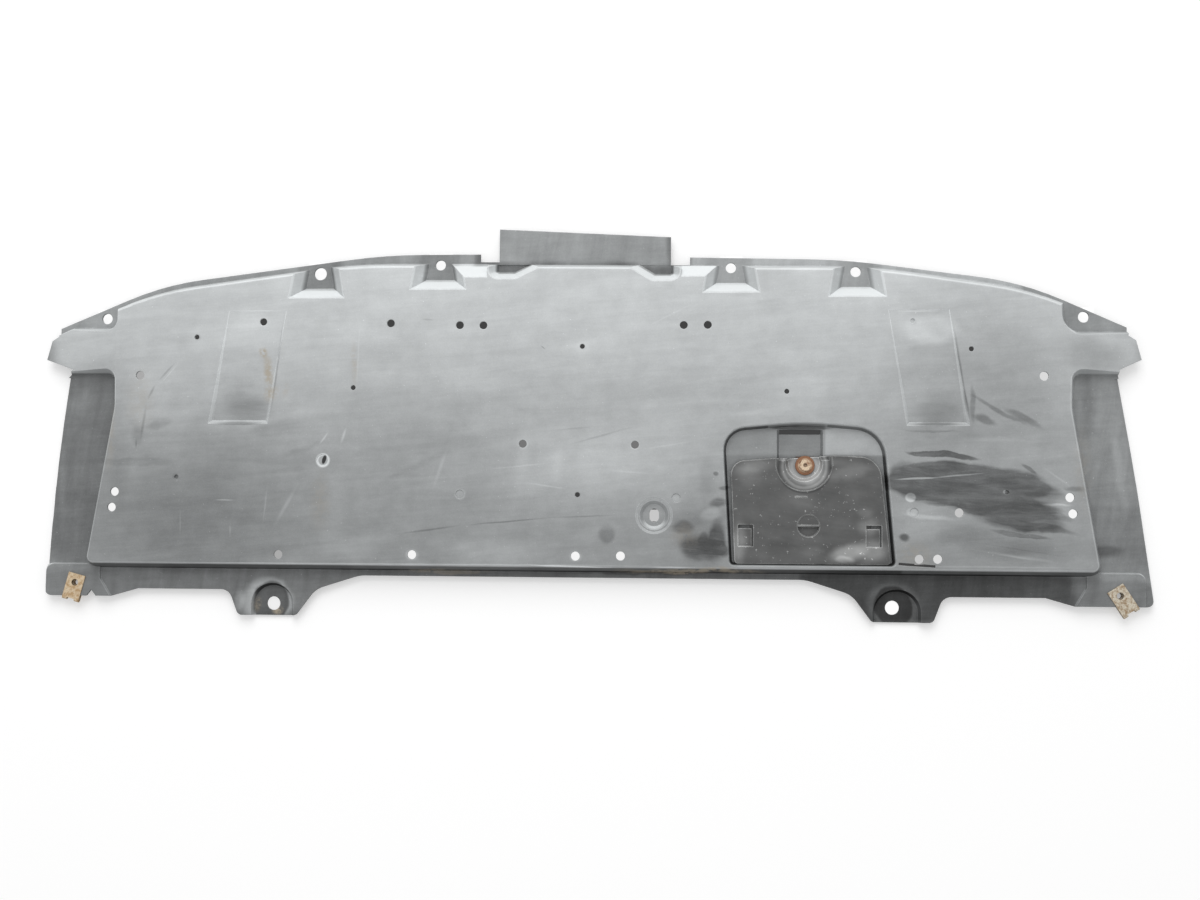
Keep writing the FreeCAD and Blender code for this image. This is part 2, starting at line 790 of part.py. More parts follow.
def ear_pockets():
    cuts, skins = [], []
    for side, centre, half_width in (("right", "ear_x", "ear_half_width"),
                                     ("left", "-(ear_x + left_ear_shift)", "left_ear_half_width")):
        rim = [
            (f"{centre} - {half_width}", "-(ear_rear + over)", None),
            (f"{centre} + {half_width}", "-(ear_rear + over)", None),
            (f"{centre} + {half_width}", "-ear_pocket_front", f"{half_width} - ear_pocket_play"),
            (f"{centre} - {half_width}", "-ear_pocket_front", f"{half_width} - ear_pocket_play"),
        ]
        pocket, skin = sunk(side + "_ear_pocket", rim, "flange_top", "wall", "ear_pocket_draft")
        cuts.append(pocket)
        skins.append(skin)
    return cuts, skins


def corner_pads():
    rear = "-(ear_rear + over)"
    rim = [
        ("rear_slope_end_x + pad_edge", rear, None),
        ("half_width - pad_side_inset", rear, None),
        ("half_width - pad_side_inset", "-pad_front", "corner_round"),
        ("pad_inner_x", "-pad_front", None),
        ("pad_inner_x", "-pad_ridge", "corner_round"),
        ("rear_slope_end_x + pad_edge", "-corner_rear", None),
    ]
    solid, hollow = raised("corner_pad", rim, "flange_top + pad_rise", "flange_top - wall", "pad_draft")
    return both_sides(solid), both_sides(hollow)


# Long pads, sunk a little at the front and more at the rear
def sloping_pads():
    angle = "atan((sink_rear_depth - sink_front_depth) / (sink_front + sink_rear))"
    rim = [
        ("sink_rear_x", "-sink_rear", None),
        ("sink_rear_x + sink_width + sink_flare", "-sink_rear", None),
        ("sink_front_x + sink_width", "sink_front", None),
        ("sink_front_x", "sink_front", None),
    ]
    made = []
    inset = "sink_rear_depth * tan(sink_draft)"
    for name, drop, spread in (("sink", "0", "0"), ("sink_skin", "wall", thin("sink_draft"))):
        column = pad(name + "_column", rim, f"panel_top - sink_rear_depth - {drop}", f"over + {drop}",
                     "sink_draft",
                     grow=f"{spread} - {inset}")
        block = box(name + "_block", "half_width", "2 * half_width", "2 * over",
                    "0", "-sink_rear", f"panel_top - sink_rear_depth - ({drop})",
                    turn=(FreeCAD.Vector(1, 0, 0), angle))
        lower = box(name + "_lower", "half_width", "over", "2 * over",
                    "0", "-sink_rear - over", f"panel_top - sink_rear_depth - ({drop})")
        made.append(both_sides(common(name, [column, fuse(name + "_level", [block, lower])])))
    return made


def dimple(name, x, y, z, shift, spread):
    """The two steps of the round dimple, or the same a wall larger."""
    step = cone(name + "_step", f"dimple_step_round + ({spread})", f"dimple_rim + ({spread})",
                "dimple_step_depth", x, y, f"({z}) - dimple_step_depth - ({shift})")
    mouth = cylinder(name + "_mouth", f"2 * (dimple_rim + {spread})", f"over + ({shift})", x, y,
                     f"({z}) - ({shift})")
    cup = cone(name + "_cup", f"dimple_floor_round + ({spread})", f"dimple_cup_round + ({spread})",
               "dimple_depth - dimple_step_depth", x, y, f"({z}) - dimple_depth - ({shift})")
    return fuse(name, [step, mouth, cup])


# Bay for the service door, with the channel under its tongue
BAY_FLOOR = "panel_top - bay_depth"
CHANNEL_FLOOR = "panel_top - bay_depth - channel_depth"


def door_bay():
    rim = [
        ("bay_left_x", "-bay_rear", "bay_foot_round"),
        ("bay_right_x", "-bay_rear", "bay_foot_round"),
        ("bay_upper_right_x", "-bay_upper_right", "bay_right_round"),
        ("bay_apex_x", "bay_apex", "bay_apex_round"),
        ("bay_upper_left_x", "-bay_upper_left", "bay_left_round"),
    ]
    return sunk("door_bay", rim, "panel_top", BAY_FLOOR, "bay_draft")


def channel():
    rear = "-(access_front + over)"
    rim = [
        ("channel_left_x", rear, None),
        ("channel_right_x", rear, None),
        ("channel_right_x", "-channel_front", None),
        ("channel_left_x", "-channel_front", None),
    ]
    return sunk("channel", rim, BAY_FLOOR, CHANNEL_FLOOR, "channel_draft")


def bay_openings():
    rim = [
        ("access_left_x", "-access_rear", "access_round"),
        ("access_right_x", "-access_rear", "access_round"),
        ("access_right_x", "-access_front", "access_round"),
        ("access_left_x", "-access_front", "access_round"),
    ]
    access = pad("access_opening", rim, "0", "panel_top")
    run = "channel_depth * tan(channel_draft)"
    slot = box("channel_slot_cut", f"channel_right_x - channel_left_x - 2 * {run}", "channel_slot",
               "2 * over",
               f"channel_left_x + {run}", "-channel_front - channel_slot", f"{CHANNEL_FLOOR} - over")
    return [access, slot]


# Round holes: name of the diameter, then the places of the right half or of single holes
def round_holes(name, bore, places, bottom, height):
    body = doc.addObject("PartDesign::Body", name)
    sketch = body.newObject("Sketcher::SketchObject", name + "_circles")
    plane = [item for item in body.Origin.OriginFeatures if item.Role == "XY_Plane"][0]
    sketch.AttachmentSupport = [(plane, "")]
    sketch.MapMode = "FlatFace"
    bind(sketch, AttachmentOffset__Base__z=bottom)
    for number, (x, y) in enumerate(places):
        centre = FreeCAD.Vector(value(x), value(y), 0)
        circle = sketch.addGeometry(Part.Circle(centre, UP, value(bore) / 2), False)
        first = sketch.ConstraintCount
        sketch.addConstraint([
            Sketcher.Constraint("DistanceX", -1, 1, circle, 3, centre.x),
            Sketcher.Constraint("DistanceY", -1, 1, circle, 3, centre.y),
            Sketcher.Constraint("Diameter", circle, value(bore)),
        ])
        for step, text in enumerate((x, y, bore)):
            sketch.setExpression(f"Constraints[{first + step}]", cells(text))
    feature = body.newObject("PartDesign::Pad", name + "_pad")
    feature.Profile = sketch
    bind(feature, Length=height)
    body.Tip = feature
    doc.recompute()
    return body


def sides(places):
    return places + [(f"-({x})", y) for x, y in places]


LARGE_HOLES = sides([("101.5", "panel_front - 59.2"), ("125.6", "panel_front - 59")]) + [
    ("-196.6", "panel_front - 57"), ("-60", "-22"), ("53.2", "-22.5")]
PALE_HOLES = sides([
    ("half_width - 108.5", "wing_rear - 8"), ("half_width - 84.8", "72.3 - panel_rear"),
    ("half_width - 82.1", "56.3 - panel_rear")]) + [
    ("-308.7", "9.5 - panel_rear"), ("-171.5", "10.5 - panel_rear"), ("-5.9", "10.5 - panel_rear"),
    ("39.3", "11 - panel_rear"), ("334.3", "10.5 - panel_rear"), ("352.3", "10.7 - panel_rear"),
    ("373.5", "56.5 - panel_rear")]
SMALL_HOLES = [("167.3 - half_width", "panel_knee - 44.9"), ("half_width - 179.2", "panel_knee - 57.4"),
               ("-0.6", "76.8"), ("-234.4", "34.6"), ("204.5", "31.5"), ("-4.3", "-73")]
DENTS = [("149.3 - half_width", "-57.2"), ("half_width - 145.7", "-68"), ("sink_hole_x", "sink_hole")]
BLIND_HOLES = [("-123.4", "-73.3"), ("94.6", "-75.7"), ("329.6", "56.5 - panel_rear")]


def holes():
    deep = ("-over", "panel_top + 2 * over")
    bolts = [("inner_pocket_x", "inner_pocket - inner_pocket_skew"),
             ("-inner_pocket_x", "inner_pocket + inner_pocket_skew"), ("outer_pocket_x", "outer_pocket")]
    ring = cylinder("mark_ring", "mark_bore", "over", "-mark_x", "-mark_y", "panel_top - blind_depth")
    return [
        round_holes("pocket_holes", "pocket_bore", bolts, *deep),
        round_holes("worn_hole", "worn_bore", [("-(outer_pocket_x)", "outer_pocket")], *deep),
        round_holes("corner_holes", "corner_bore", sides([("corner_hole_x", "corner_hole")]), *deep),
        round_holes("ear_holes", "ear_bore", [("ear_x - ear_hole_shift", "right_ear_hole_rise - ear_hole"),
                                            ("-(ear_x + left_ear_shift)", "-(ear_hole)")], *deep),
        round_holes("large_holes", "large_bore", LARGE_HOLES, *deep),
        round_holes("pale_holes", "pale_bore", PALE_HOLES, *deep),
        round_holes("small_holes", "small_bore", SMALL_HOLES, *deep),
        round_holes("sink_holes", "sink_bore", [("-sink_hole_x", "sink_hole")], *deep),
        round_holes("dents", "dent_bore", DENTS, "panel_top - dent_depth", "over"),
        round_holes("blind_holes", "blind_bore", BLIND_HOLES, "panel_top - blind_depth", "over"),
        round_holes("clip_holes", "clip_panel_hole",
                    [("-(left_clip_x)", "-(left_clip)"), ("right_clip_x", "-(right_clip)"),
                     ("screw_x", "-screw_y")],
                    *deep),
        ring,
    ]


def build_tray():
    outline = outer_outline()
    flange_solid, flange_hollow = flange()
    panel_solid, panel_hollow = panel()
    pocket_cuts, pocket_skins = front_pockets()
    corner_cuts, corner_skins = corner_pockets()
    bay_cuts, bay_skins = tab_bays()
    ramp_cuts, ramp_skins = ramp("ramp", "0"), ramp("ramp_skin", "wall")
    ear_cuts, ear_skins = ear_pockets()
    pad_solids, pad_hollows = corner_pads()
    sink_cuts, sink_skins = sloping_pads()
    door_cut, door_skin = door_bay()
    channel_cut, channel_skin = channel()
    dimple_place = ("dimple_x", "-dimple_y", "panel_top")
    dimple_cut = dimple("dimple", *dimple_place, "0", "0")
    dimple_draft = "atan((dimple_cup_round - dimple_floor_round) / (dimple_depth - dimple_step_depth))"
    dimple_skin = dimple("dimple_skin", *dimple_place, "wall", thin(dimple_draft))
    slot = box("dimple_slot", "dimple_slot_width", "dimple_slot_length - dimple_slot_width", "panel_top",
               "dimple_x - dimple_slot_width / 2",
               "-dimple_y - (dimple_slot_length - dimple_slot_width) / 2", "0")
    slot_ends = [
        cylinder(f"dimple_slot_end_{number}", "dimple_slot_width", "panel_top", "dimple_x",
                 f"-dimple_y {sign} (dimple_slot_length - dimple_slot_width) / 2", "0")
        for number, sign in enumerate("+-")
    ]
    split = box("split", "split_length", "split_width", "panel_top", "split_x", "-split_y", "flange_top",
                turn=(FreeCAD.Vector(0, 0, -1), "split_turn"))

    panel_outer = cut("panel_outer", panel_solid, fuse("panel_cuts", (
        wing_cut("wing", "0") + pocket_cuts + corner_cuts + bay_cuts + ramp_cuts + sink_cuts
        + [door_cut, channel_cut, dimple_cut])))
    panel_inner = cut("panel_inner", panel_hollow, fuse("panel_skins", (
        wing_cut("wing_skin", "wall") + pocket_skins + corner_skins + bay_skins + ramp_skins + sink_skins
        + [door_skin, channel_skin, dimple_skin])))
    flange_outer = cut("flange_outer", fuse("flange_and_pads", [flange_solid] + pad_solids),
                       fuse("ear_cuts", ear_cuts))
    flange_inner = cut("flange_inner", fuse("flange_and_pad_hollows", [flange_hollow] + pad_hollows),
                       fuse("ear_skins", ear_skins))
    ear_floor = common("ear_floors", [fuse("ear_skins_low", ear_skins), box(
        "ear_ground", "2 * half_width", "2 * ear_rear", "flange_top", "-half_width", "-2 * ear_rear", "0")])
    ear_pans = cut("ear_pans", ear_floor, fuse("ear_cuts_again", ear_cuts))
    moulding = common("moulding", [outline, fuse("moulding_blank", [panel_outer, flange_outer, ear_pans])])
    bulge = cylinder("lip_bulge", "2 * bulge_round", "wall", "-inner_pocket_x", "inner_pocket",
                     "flange_top - wall")
    with_bulge = fuse("moulding_and_bulge", [moulding, bulge])
    waste = fuse("tray_waste", [panel_inner, flange_inner, slot,
                                split] + slot_ends + bay_openings() + holes())
    return cut("tray", with_bulge, waste)


# Service door, a lid that lies on the ledge of the bay
DOOR_FACE = "panel_top - bay_depth + door_thickness"
DISH_FLOOR = "panel_top - bay_depth - channel_depth + clip_play + clip_sheet + wall"


def door_rim():
    return [
        ("door_left_x", "-door_rear", "door_foot_round"),
        ("door_right_x", "-door_rear", "door_foot_round"),
        ("door_upper_right_x", "-door_upper_right", "door_right_round"),
        ("door_apex_x", "-door_apex", "door_apex_round"),
        ("door_upper_left_x", "-door_upper_left", "door_left_round"),
    ]


def window(name, x):
    """A blind window with a through slit along its front end and right side, round a latch tongue."""
    bottom = f"{DOOR_FACE} - window_depth"
    width = "window_width"
    side = f"{x} + window_width / 2 - window_slit"
    return [
        box(name, width, "window_length", "over", f"{x} - window_width / 2",
            "-window_y - window_length / 2", bottom),
        box(name + "_mouth", width, "window_mouth", "2 * over", f"{x} - window_width / 2",
            "-window_y + window_length / 2 - window_mouth", f"{DOOR_FACE} - over"),
        box(name + "_slit", "window_slit", "window_length - window_mouth", "2 * over", side,
            "-window_y - window_length / 2", f"{DOOR_FACE} - over"),
    ]


def build_door():
    thickness = "door_thickness"
    inset = f"{thickness} * tan(bay_draft)"
    plate = pad("door_plate", door_rim(), f"{DOOR_FACE} - {thickness}", thickness, "bay_draft",
                grow=f"-({inset})")
    column = pad("door_column", door_rim(), "0", "panel_top", grow=f"-({inset})")
    lean = f"(dish_rim - dish_floor) / ({DOOR_FACE} - ({DISH_FLOOR}))"
    boss = cone("dish_boss", "dish_foot", "dish_shoulder", "wall", "dish_x", "-dish_y",
                f"{DISH_FLOOR} - wall")
    bowl = cone("dish_bowl", "dish_floor", f"dish_rim + {lean} * over",
                f"{DOOR_FACE} - ({DISH_FLOOR}) + over",
                "dish_x", "-dish_y", DISH_FLOOR)
    ring = cylinder("dish_ring_cut", "2 * dish_ring", "over", "dish_x", "-dish_y",
                    f"{DOOR_FACE} - dish_ring_depth")
    screw_hole = cylinder("door_screw_hole", "screw_shank + screw_hole_play", "panel_top",
                          "screw_x", "-screw_y", "0")
    flare = box("dish_flare", "dish_flare_width", "dish_flare_rear", "over", "dish_x - dish_flare_width / 2",
                "-dish_flare_rear", f"{DOOR_FACE} - dish_flare_depth")
    dash = box("door_dash", "dash_length", "dash_width", "dash_rise", "dash_x - dash_length / 2",
               "-dash_y - dash_width / 2", DOOR_FACE)
    shallow = cylinder("pull_shallow_cut", "2 * pull_round", "over", "pull_x", "-pull_y",
                       f"{DOOR_FACE} - pull_shallow")
    deep_round = cylinder("pull_deep_round", "2 * pull_round", "over", "pull_x", "-pull_y",
                          f"{DOOR_FACE} - pull_deep")
    deep_half = box("pull_deep_half", "2 * pull_round", "pull_round", "over", "pull_x - pull_round",
                    "-pull_y - pull_round - pull_bar / 2", f"{DOOR_FACE} - pull_deep")
    deep = common("pull_deep_cut", [deep_round, deep_half])
    bar = box("pull_bar_ridge", "2 * pull_round - 2 * pull_bar_inset", "pull_bar", "pull_shallow",
              "pull_x - pull_round + pull_bar_inset", "-pull_y - pull_bar / 2", f"{DOOR_FACE} - pull_shallow")
    stepped = cut("door_stepped", plate, fuse("dish_steps", [ring, flare]))
    lid = fuse("door_and_boss", [stepped, common("door_boss", [boss, column])])
    dished = cut("door_dished", lid, fuse("door_dish", [bowl, screw_hole]))
    pulled = fuse("door_pulled", [cut("door_open_pull", dished, fuse("pull_cuts", [shallow, deep])), bar,
                                  dash])
    windows = fuse("door_windows",
                   window("window_left", "window_left_x") + window("window_right", "window_right_x"))
    return cut("service_door", pulled, windows)


# Rusty screw with a washer head, down through the dish into its clip nut
def build_screw():
    seat = DISH_FLOOR
    place = ("screw_x", "-screw_y")
    washer = cone("screw_washer", "screw_flange / 2", "screw_flange / 2 - screw_flange_bevel",
                  "screw_flange_thickness", *place, seat)
    hexagon = doc.addObject("Part::Prism", "screw_hexagon")
    hexagon.Polygon = 6
    bind(hexagon, Circumradius="screw_head / 2 / cos(30)", Height="screw_head_height")
    at(hexagon, *place, f"{seat} + screw_flange_thickness")
    socket = cylinder("screw_socket_cut", "screw_socket", "screw_socket_depth + over", *place,
                      f"{seat} + screw_flange_thickness + screw_head_height - screw_socket_depth")
    shank = cylinder("screw_shank_rod", "screw_shank", "screw_length - screw_point", *place,
                     f"{seat} - screw_length + screw_point")
    point = cone("screw_end", "screw_tip / 2", "screw_shank / 2", "screw_point", *place,
                 f"{seat} - screw_length")
    return cut("door_screw", fuse("screw_solid", [washer, hexagon, shank, point]), socket)


# Spring steel clip nut, its bend over the edge of the sheet that it grips
def build_clip(name, x, y, sheet_top, grip, turn=None):
    reach = f"({grip}) + clip_nose"
    gap = "wall + 2 * clip_play"
    upper = box(name + "_upper", "clip_width", reach, "clip_sheet", "-clip_width / 2", f"-({grip})",
                "clip_play")
    lower = box(name + "_lower", "clip_width", reach, "clip_sheet", "-clip_width / 2", f"-({grip})",
                "-clip_play - wall - clip_sheet")
    barrel = cylinder(name + "_barrel", "clip_barrel", "clip_barrel_length", "0", "0",
                      "-clip_play - wall - clip_sheet - clip_barrel_length")
    strips = []
    for side, start in (("left", "-clip_width / 2"), ("right", "clip_width / 2 - clip_strip")):
        rolls = []
        for part, radius in (("outer", f"({gap}) / 2 + clip_sheet"), ("inner", f"({gap}) / 2")):
            roll = cylinder(f"{name}_{side}_{part}", f"2 * ({radius})", "clip_strip", start, f"-({grip})",
                            "-wall / 2")
            roll.Placement.Rotation = FreeCAD.Rotation(FreeCAD.Vector(0, 1, 0), 90)
            rolls.append(roll)
        front = box(f"{name}_{side}_front", "clip_strip", "clip_width", "clip_width", start, f"-({grip})",
                    "-clip_width / 2")
        strips.append(cut(f"{name}_{side}_bend", rolls[0], fuse(f"{name}_{side}_waste", [rolls[1], front])))
    thread = cylinder(name + "_thread", "clip_thread", "clip_width", "0", "0",
                      "-clip_width + clip_sheet / 2 - wall")
    mouth = cylinder(name + "_mouth", "clip_hole", "2 * clip_sheet", "0", "0", "-clip_sheet / 2")
    solid = fuse(name + "_solid", [upper, lower, barrel] + strips)
    clip = cut(name, solid, fuse(name + "_bores", [thread, mouth]))
    at(clip, x, y, sheet_top)
    if turn:
        clip.Placement.Rotation = FreeCAD.Rotation(UP, 1)
        bind(clip, Placement__Rotation__Angle=turn)
    return clip


PAD_TOP = "flange_top + pad_rise"
tray = build_tray()
door = build_door()
screw = build_screw()
clips = [
    build_clip("door_clip_nut", "screw_x", "-screw_y", CHANNEL_FLOOR, "door_clip_grip"),
    build_clip("corner_clip_left", "-(left_clip_x)", "-(left_clip)", PAD_TOP, "left_clip_grip",
               "-left_clip_turn"),
    build_clip("corner_clip_right", "right_clip_x", "-(right_clip)", PAD_TOP, "right_clip_grip",
               "right_clip_turn"),
]
doc.recompute()
made = [tray, door, screw] + clips

os.makedirs("parts", exist_ok=True)
for item in doc.Objects:
    if "Invalid" in item.State or "Error" in item.State:
        raise RuntimeError(f"{item.Name} failed: {item.State}")
for item in made:
    if item.Shape.isNull() or not item.Shape.isValid():
        raise RuntimeError(f"{item.Name} has no valid shape")
    item.Shape.exportStep(f"parts/{item.Label}.step")
    print(item.Label, len(item.Shape.Solids), "solid", round(item.Shape.Volume), item.Shape.BoundBox)
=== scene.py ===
import math
import bpy
from mathutils import Euler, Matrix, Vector


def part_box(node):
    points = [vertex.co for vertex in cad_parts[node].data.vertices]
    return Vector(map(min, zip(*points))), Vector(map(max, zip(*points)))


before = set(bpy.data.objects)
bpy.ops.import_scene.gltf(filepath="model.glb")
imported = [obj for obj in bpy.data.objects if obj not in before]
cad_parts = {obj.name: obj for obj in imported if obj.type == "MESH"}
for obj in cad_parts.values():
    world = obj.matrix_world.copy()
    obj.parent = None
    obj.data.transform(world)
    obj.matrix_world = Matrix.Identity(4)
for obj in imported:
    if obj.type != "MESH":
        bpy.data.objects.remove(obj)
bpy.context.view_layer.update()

MM = 0.001
WHITE = (1, 1, 1, 1)
scene = bpy.context.scene
scene.view_settings.view_transform = "Standard"

# Camera: nearly straight above, as in the photograph, whose frame is given in pixels
FRAME_WIDTH = 1200
FRAME_HEIGHT = 900
CAMERA_PLACE = (0.1096, -0.1085, 1.4248)
CAMERA_TURN = (3.3127, 3.7107, 0.4599)
LENS_MM = 42
SENSOR_MM = 36

# Light from the front lip's side, softened by an even sky
SKY = 0.6
LAMP_WATTS = 46
LAMP_SIZE = 2.2
LAMP_PLACE = (-0.2, 2.2, 2.2)

# Levels in mm of the faces that carry marks
PANEL_TOP = 24
DOOR_TOP = 19.5
FLANGE_TOP = 6
GROUND = 0

# Marks: middle, half length, half width in the frame's pixels, turn in degrees, soft share, change of tone
# Broad soft marks: haze on the plastic, and painted sheen of the lamp
HAZE_AND_SHEEN = [
    (200, 505, 190, 115, 0, 1, -0.1),
    (105, 400, 45, 100, 0, 1, -0.07),
    (590, 465, 190, 80, 0, 1, 0.1),
    (985, 365, 120, 130, 0, 1, -0.09),
    (925, 430, 70, 30, 0, 1, -0.04),
    (790, 392, 60, 28, 0, 1, 0.04),
    (410, 430, 110, 60, 0, 1, -0.04),
    (500, 550, 90, 20, 0, 1, 0.08),
    (340, 545, 50, 25, 0, 1, 0.05),
    (250, 330, 60, 30, 0, 1, 0.03),
    (915, 525, 45, 30, 0, 1, 0.06),
    (1072, 505, 16, 40, 0, 1, 0.06),
    (1040, 545, 60, 20, 0, 1, -0.02),
    (700, 530, 50, 50, 0, 1, -0.07),
    (870, 330, 60, 60, 0, 1, 0.01),
    (582, 345, 22, 14, 0, 1, 0.04),
    (200, 338, 22, 14, 0, 1, 0.04),
    (330, 500, 16, 45, 0, 1, 0.04),
    (520, 460, 12, 50, 0, 1, 0.03),
    (560, 470, 10, 40, 0, 1, 0.03),
    (1092, 350, 46, 22, 0, 0.7, -0.07),
    (1000, 550, 100, 20, -2, 0.8, -0.08),
    # Lighter at the front and darker at the rear of the two sunk pads: painted light and shade
    (925, 328, 36, 20, 0, 0.5, 0.08),
    (243, 410, 30, 15, 0, 0.5, -0.05),
    (937, 410, 30, 15, 0, 0.5, -0.04),
    (258, 326, 32, 14, 0, 0.6, 0.02),
    (700, 520, 40, 12, 0, 0.9, -0.04),
    (712, 480, 12, 26, 0, 0.8, -0.04),
]
SMEARS = [
    (966, 484, 90, 23, -2, 0.25, -0.28),
    (1000, 506, 66, 15, -6, 0.35, -0.18),
    (930, 477, 44, 12, 0, 0.4, -0.14),
    (1018, 520, 56, 13, -9, 0.4, -0.15),
    (937, 469, 52, 8, 0, 0.35, -0.12),
    (905, 470, 18, 12, 0, 0.4, -0.1),
    (943, 455.5, 40, 4, -5, 0.3, -0.24),
    (930, 487, 46, 7, 3, 0.35, -0.08),
    (985, 478, 60, 6, -2, 0.4, -0.06),
    (1010, 486, 60, 7, -8, 0.4, -0.08),
    (960, 496, 64, 5, 0, 0.4, -0.09),
    (1015, 499, 52, 6, -6, 0.4, -0.06),
    (1030, 508, 40, 7, -10, 0.4, -0.06),
    (1040, 490, 34, 10, -14, 0.5, -0.1),
    (990, 471, 34, 4, -9, 0.4, -0.12),
    (1030, 470, 12, 2.5, -40, 0.5, -0.12),
    (1000, 515, 40, 3.5, -8, 0.35, -0.07),
    (1030, 526, 52, 5, -9, 0.35, -0.1),
    (1020, 534, 34, 3, -9, 0.4, -0.12),
    (1052, 518, 26, 5, -8, 0.5, -0.12),
    (955, 505, 40, 2.5, -6, 0.5, -0.1),
    (1075, 489, 14, 4, -10, 0.7, -0.1),
    (1000, 411, 42, 3, -28, 0.6, -0.1),
    (985, 420, 16, 6, -20, 0.6, -0.12),
    (1025, 419, 26, 4.5, -30, 0.6, -0.12),
    (972, 405, 4, 22, 0, 0.6, -0.1),
    (930, 430, 34, 1.8, -3, 0.6, -0.08),
    (714, 546, 17, 21, 0, 0.6, -0.16),
    (704, 538, 6, 9, 0, 0.5, -0.1),
    (724, 552, 7, 8, 0, 0.5, -0.12),
    (694, 546, 20, 18, 0, 0.7, -0.14),
    (702, 548, 25, 15, 0, 0.4, -0.08),
    (718, 538, 10, 22, 0, 0.5, -0.18),
    (717, 503, 12, 7, 10, 0.6, -0.14),
    (716, 475, 4, 3, 0, 0.6, -0.14),
    (724, 487, 8, 2.5, 10, 0.6, -0.14),
    (608, 534, 10, 13, 0, 0.5, -0.09),
    (684, 527, 14, 8, 0, 0.6, -0.12),
    (905, 538, 7, 6, 0, 0.7, -0.24),
    (135, 462, 50, 5, 0, 0.5, -0.04),
    (160, 424, 18, 6, 15, 0.6, -0.06),
    (250, 410, 34, 16, 0, 0.6, -0.06),
    (240, 388, 30, 30, 0, 1, -0.03),
    (940, 405, 30, 22, 0, 0.8, -0.05),
    (138, 435, 8, 14, 0, 0.8, -0.06),
    (420, 465, 60, 6, 25, 0.9, -0.03),
    (300, 450, 30, 5, 20, 0.9, -0.04),
    (1000, 440, 60, 3, -3, 0.8, 0.03),
    (710, 515, 14, 8, 10, 0.7, 0.08),
    (1000, 514, 22, 2, -4, 0.7, 0.08),
    (1055, 505, 22, 2, -4, 0.7, 0.1),
    (930, 517, 35, 4, -6, 0.8, 0.08),
    (265, 430, 60, 8, 15, 1, -0.03),
    (760, 412, 60, 5, 3, 0.9, 0.03),
    (120, 470, 18, 60, 3, 1, -0.03),
]
DISCS = [
    (460, 494.3, 6.5, 6.5, 0, 0.3, 0.06),
    (676, 498, 5, 5, 0, 0.3, 0.05),
    (910.6, 497.5, 6, 5.5, 0, 0.3, 0.2),
    (912, 512, 7, 5, 0, 0.4, 0.06),
    (412, 554.8, 8.5, 7, 0, 0.5, 0.09),
    (575.4, 556.4, 7.5, 6.5, 0, 0.5, 0.08),
    (523, 444, 6.5, 6, 0, 0.5, 0.05),
    (635, 445, 6, 6, 0, 0.5, 0.07),
    (391, 323.5, 6.5, 6.5, 0, 0.6, -0.05),
    (459.6, 324, 6, 6, 0, 0.6, -0.04),
    (582.5, 346.5, 4, 4, 0, 0.6, -0.06),
    (197.6, 337.3, 4.5, 4, 0, 0.7, -0.1),
    (577.5, 494.8, 4, 4, 0, 0.6, -0.1),
    (322.8, 460.3, 8, 8, 0, 0.3, 0.3),
    (322.8, 460.3, 5.6, 5.6, 0, 0.3, -0.24),
    (324, 459.5, 2.4, 5.4, -15, 0.4, -0.5),
    (914, 322, 4, 4, 0, 0.7, -0.06),
    # A dark band along the top wall of the door's bay: painted shade
    (801, 427.5, 36, 3, 0, 0.4, -0.24),
    (175, 476, 4, 4, 0, 0.8, -0.08),
    (1005, 492, 2.5, 2.5, 0, 0.6, 0.2),
]
BROWN = [
    (272, 612, 8, 6, 0, 0.8, 0.6),
    (440, 571, 60, 3, 0, 0.6, 0.2),
    (690, 571, 90, 4, 0, 0.7, 0.4),
    (250, 606, 6, 10, 0, 0.9, 0.3),
    (262, 352, 6, 8, 0, 0.9, 0.6),
    (266, 372, 7, 26, 4, 0.9, 0.5),
    (270, 394, 10, 12, 0, 0.9, 0.35),
    (354, 365, 5, 30, 0, 1, 0.2),
    (285, 392, 6, 12, 0, 1, 0.15),
    (110, 435, 8, 50, 0, 1, 0.15),
    (320, 500, 14, 40, 0, 1, 0.12),
    (140, 400, 20, 40, 0, 1, 0.12),
    (915, 555, 25, 18, 0, 1, 0.15),
    (1085, 470, 14, 60, 0, 1, 0.12),
    (685, 535, 20, 18, 0, 1, 0.12),
]
FLANGE_MARKS = [
    (268, 601, 30, 25, 0, 0.3, 0.2),
    (270, 603, 20, 22, 0, 0.15, -0.3),
    (240, 600, 6, 14, 0, 0.7, 0.1),
    (893, 604, 32, 26, 0, 0.3, 0.1),
    (893, 606, 21, 22, 0, 0.15, -0.18),
    (640, 571, 110, 4, 0, 0.6, -0.1),
    (1086, 400, 10, 60, 0, 0.8, -0.05),
    (1118, 470, 8, 60, 8, 0.9, 0.06),
    (85, 400, 16, 22, 0, 1, 0.05),
    (62, 470, 6, 90, 3, 1, 0.04),
    (1105, 552, 22, 10, 0, 0.7, -0.12),
    (1118, 588, 24, 12, 0, 1, 0.05),
]
DOOR_DUST_AND_DISH_LIGHT = [
    (755, 466, 30, 9, 10, 0.9, 0.14),
    (748, 475, 18, 14, 0, 0.9, 0.08),
    (850, 472, 34, 11, 12, 0.8, 0.13),
    (840, 462, 30, 6, 0, 0.9, 0.06),
    (848, 553, 26, 11, 14, 0.7, 0.26),
    (873, 552, 20, 16, 0, 0.8, 0.2),
    (868, 528, 16, 14, 0, 0.8, 0.14),
    (866, 512, 12, 8, 0, 0.8, 0.1),
    (739, 545, 10, 34, 0, 0.8, 0.16),
    (845, 560, 12, 5, 0, 0.6, 0.14),
    # A painted highlight in the dish around the screw
    (806, 470, 24, 20, 0, 0.5, 0.3),
    (800, 500, 30, 16, 0, 0.9, 0.05),
    (812, 552, 16, 8, 0, 0.8, 0.05),
    (780, 548, 20, 18, 0, 0.9, -0.03),
    (800, 537, 40, 10, 0, 0.9, 0.03),
    (855, 495, 20, 8, 0, 0.9, 0.04),
]
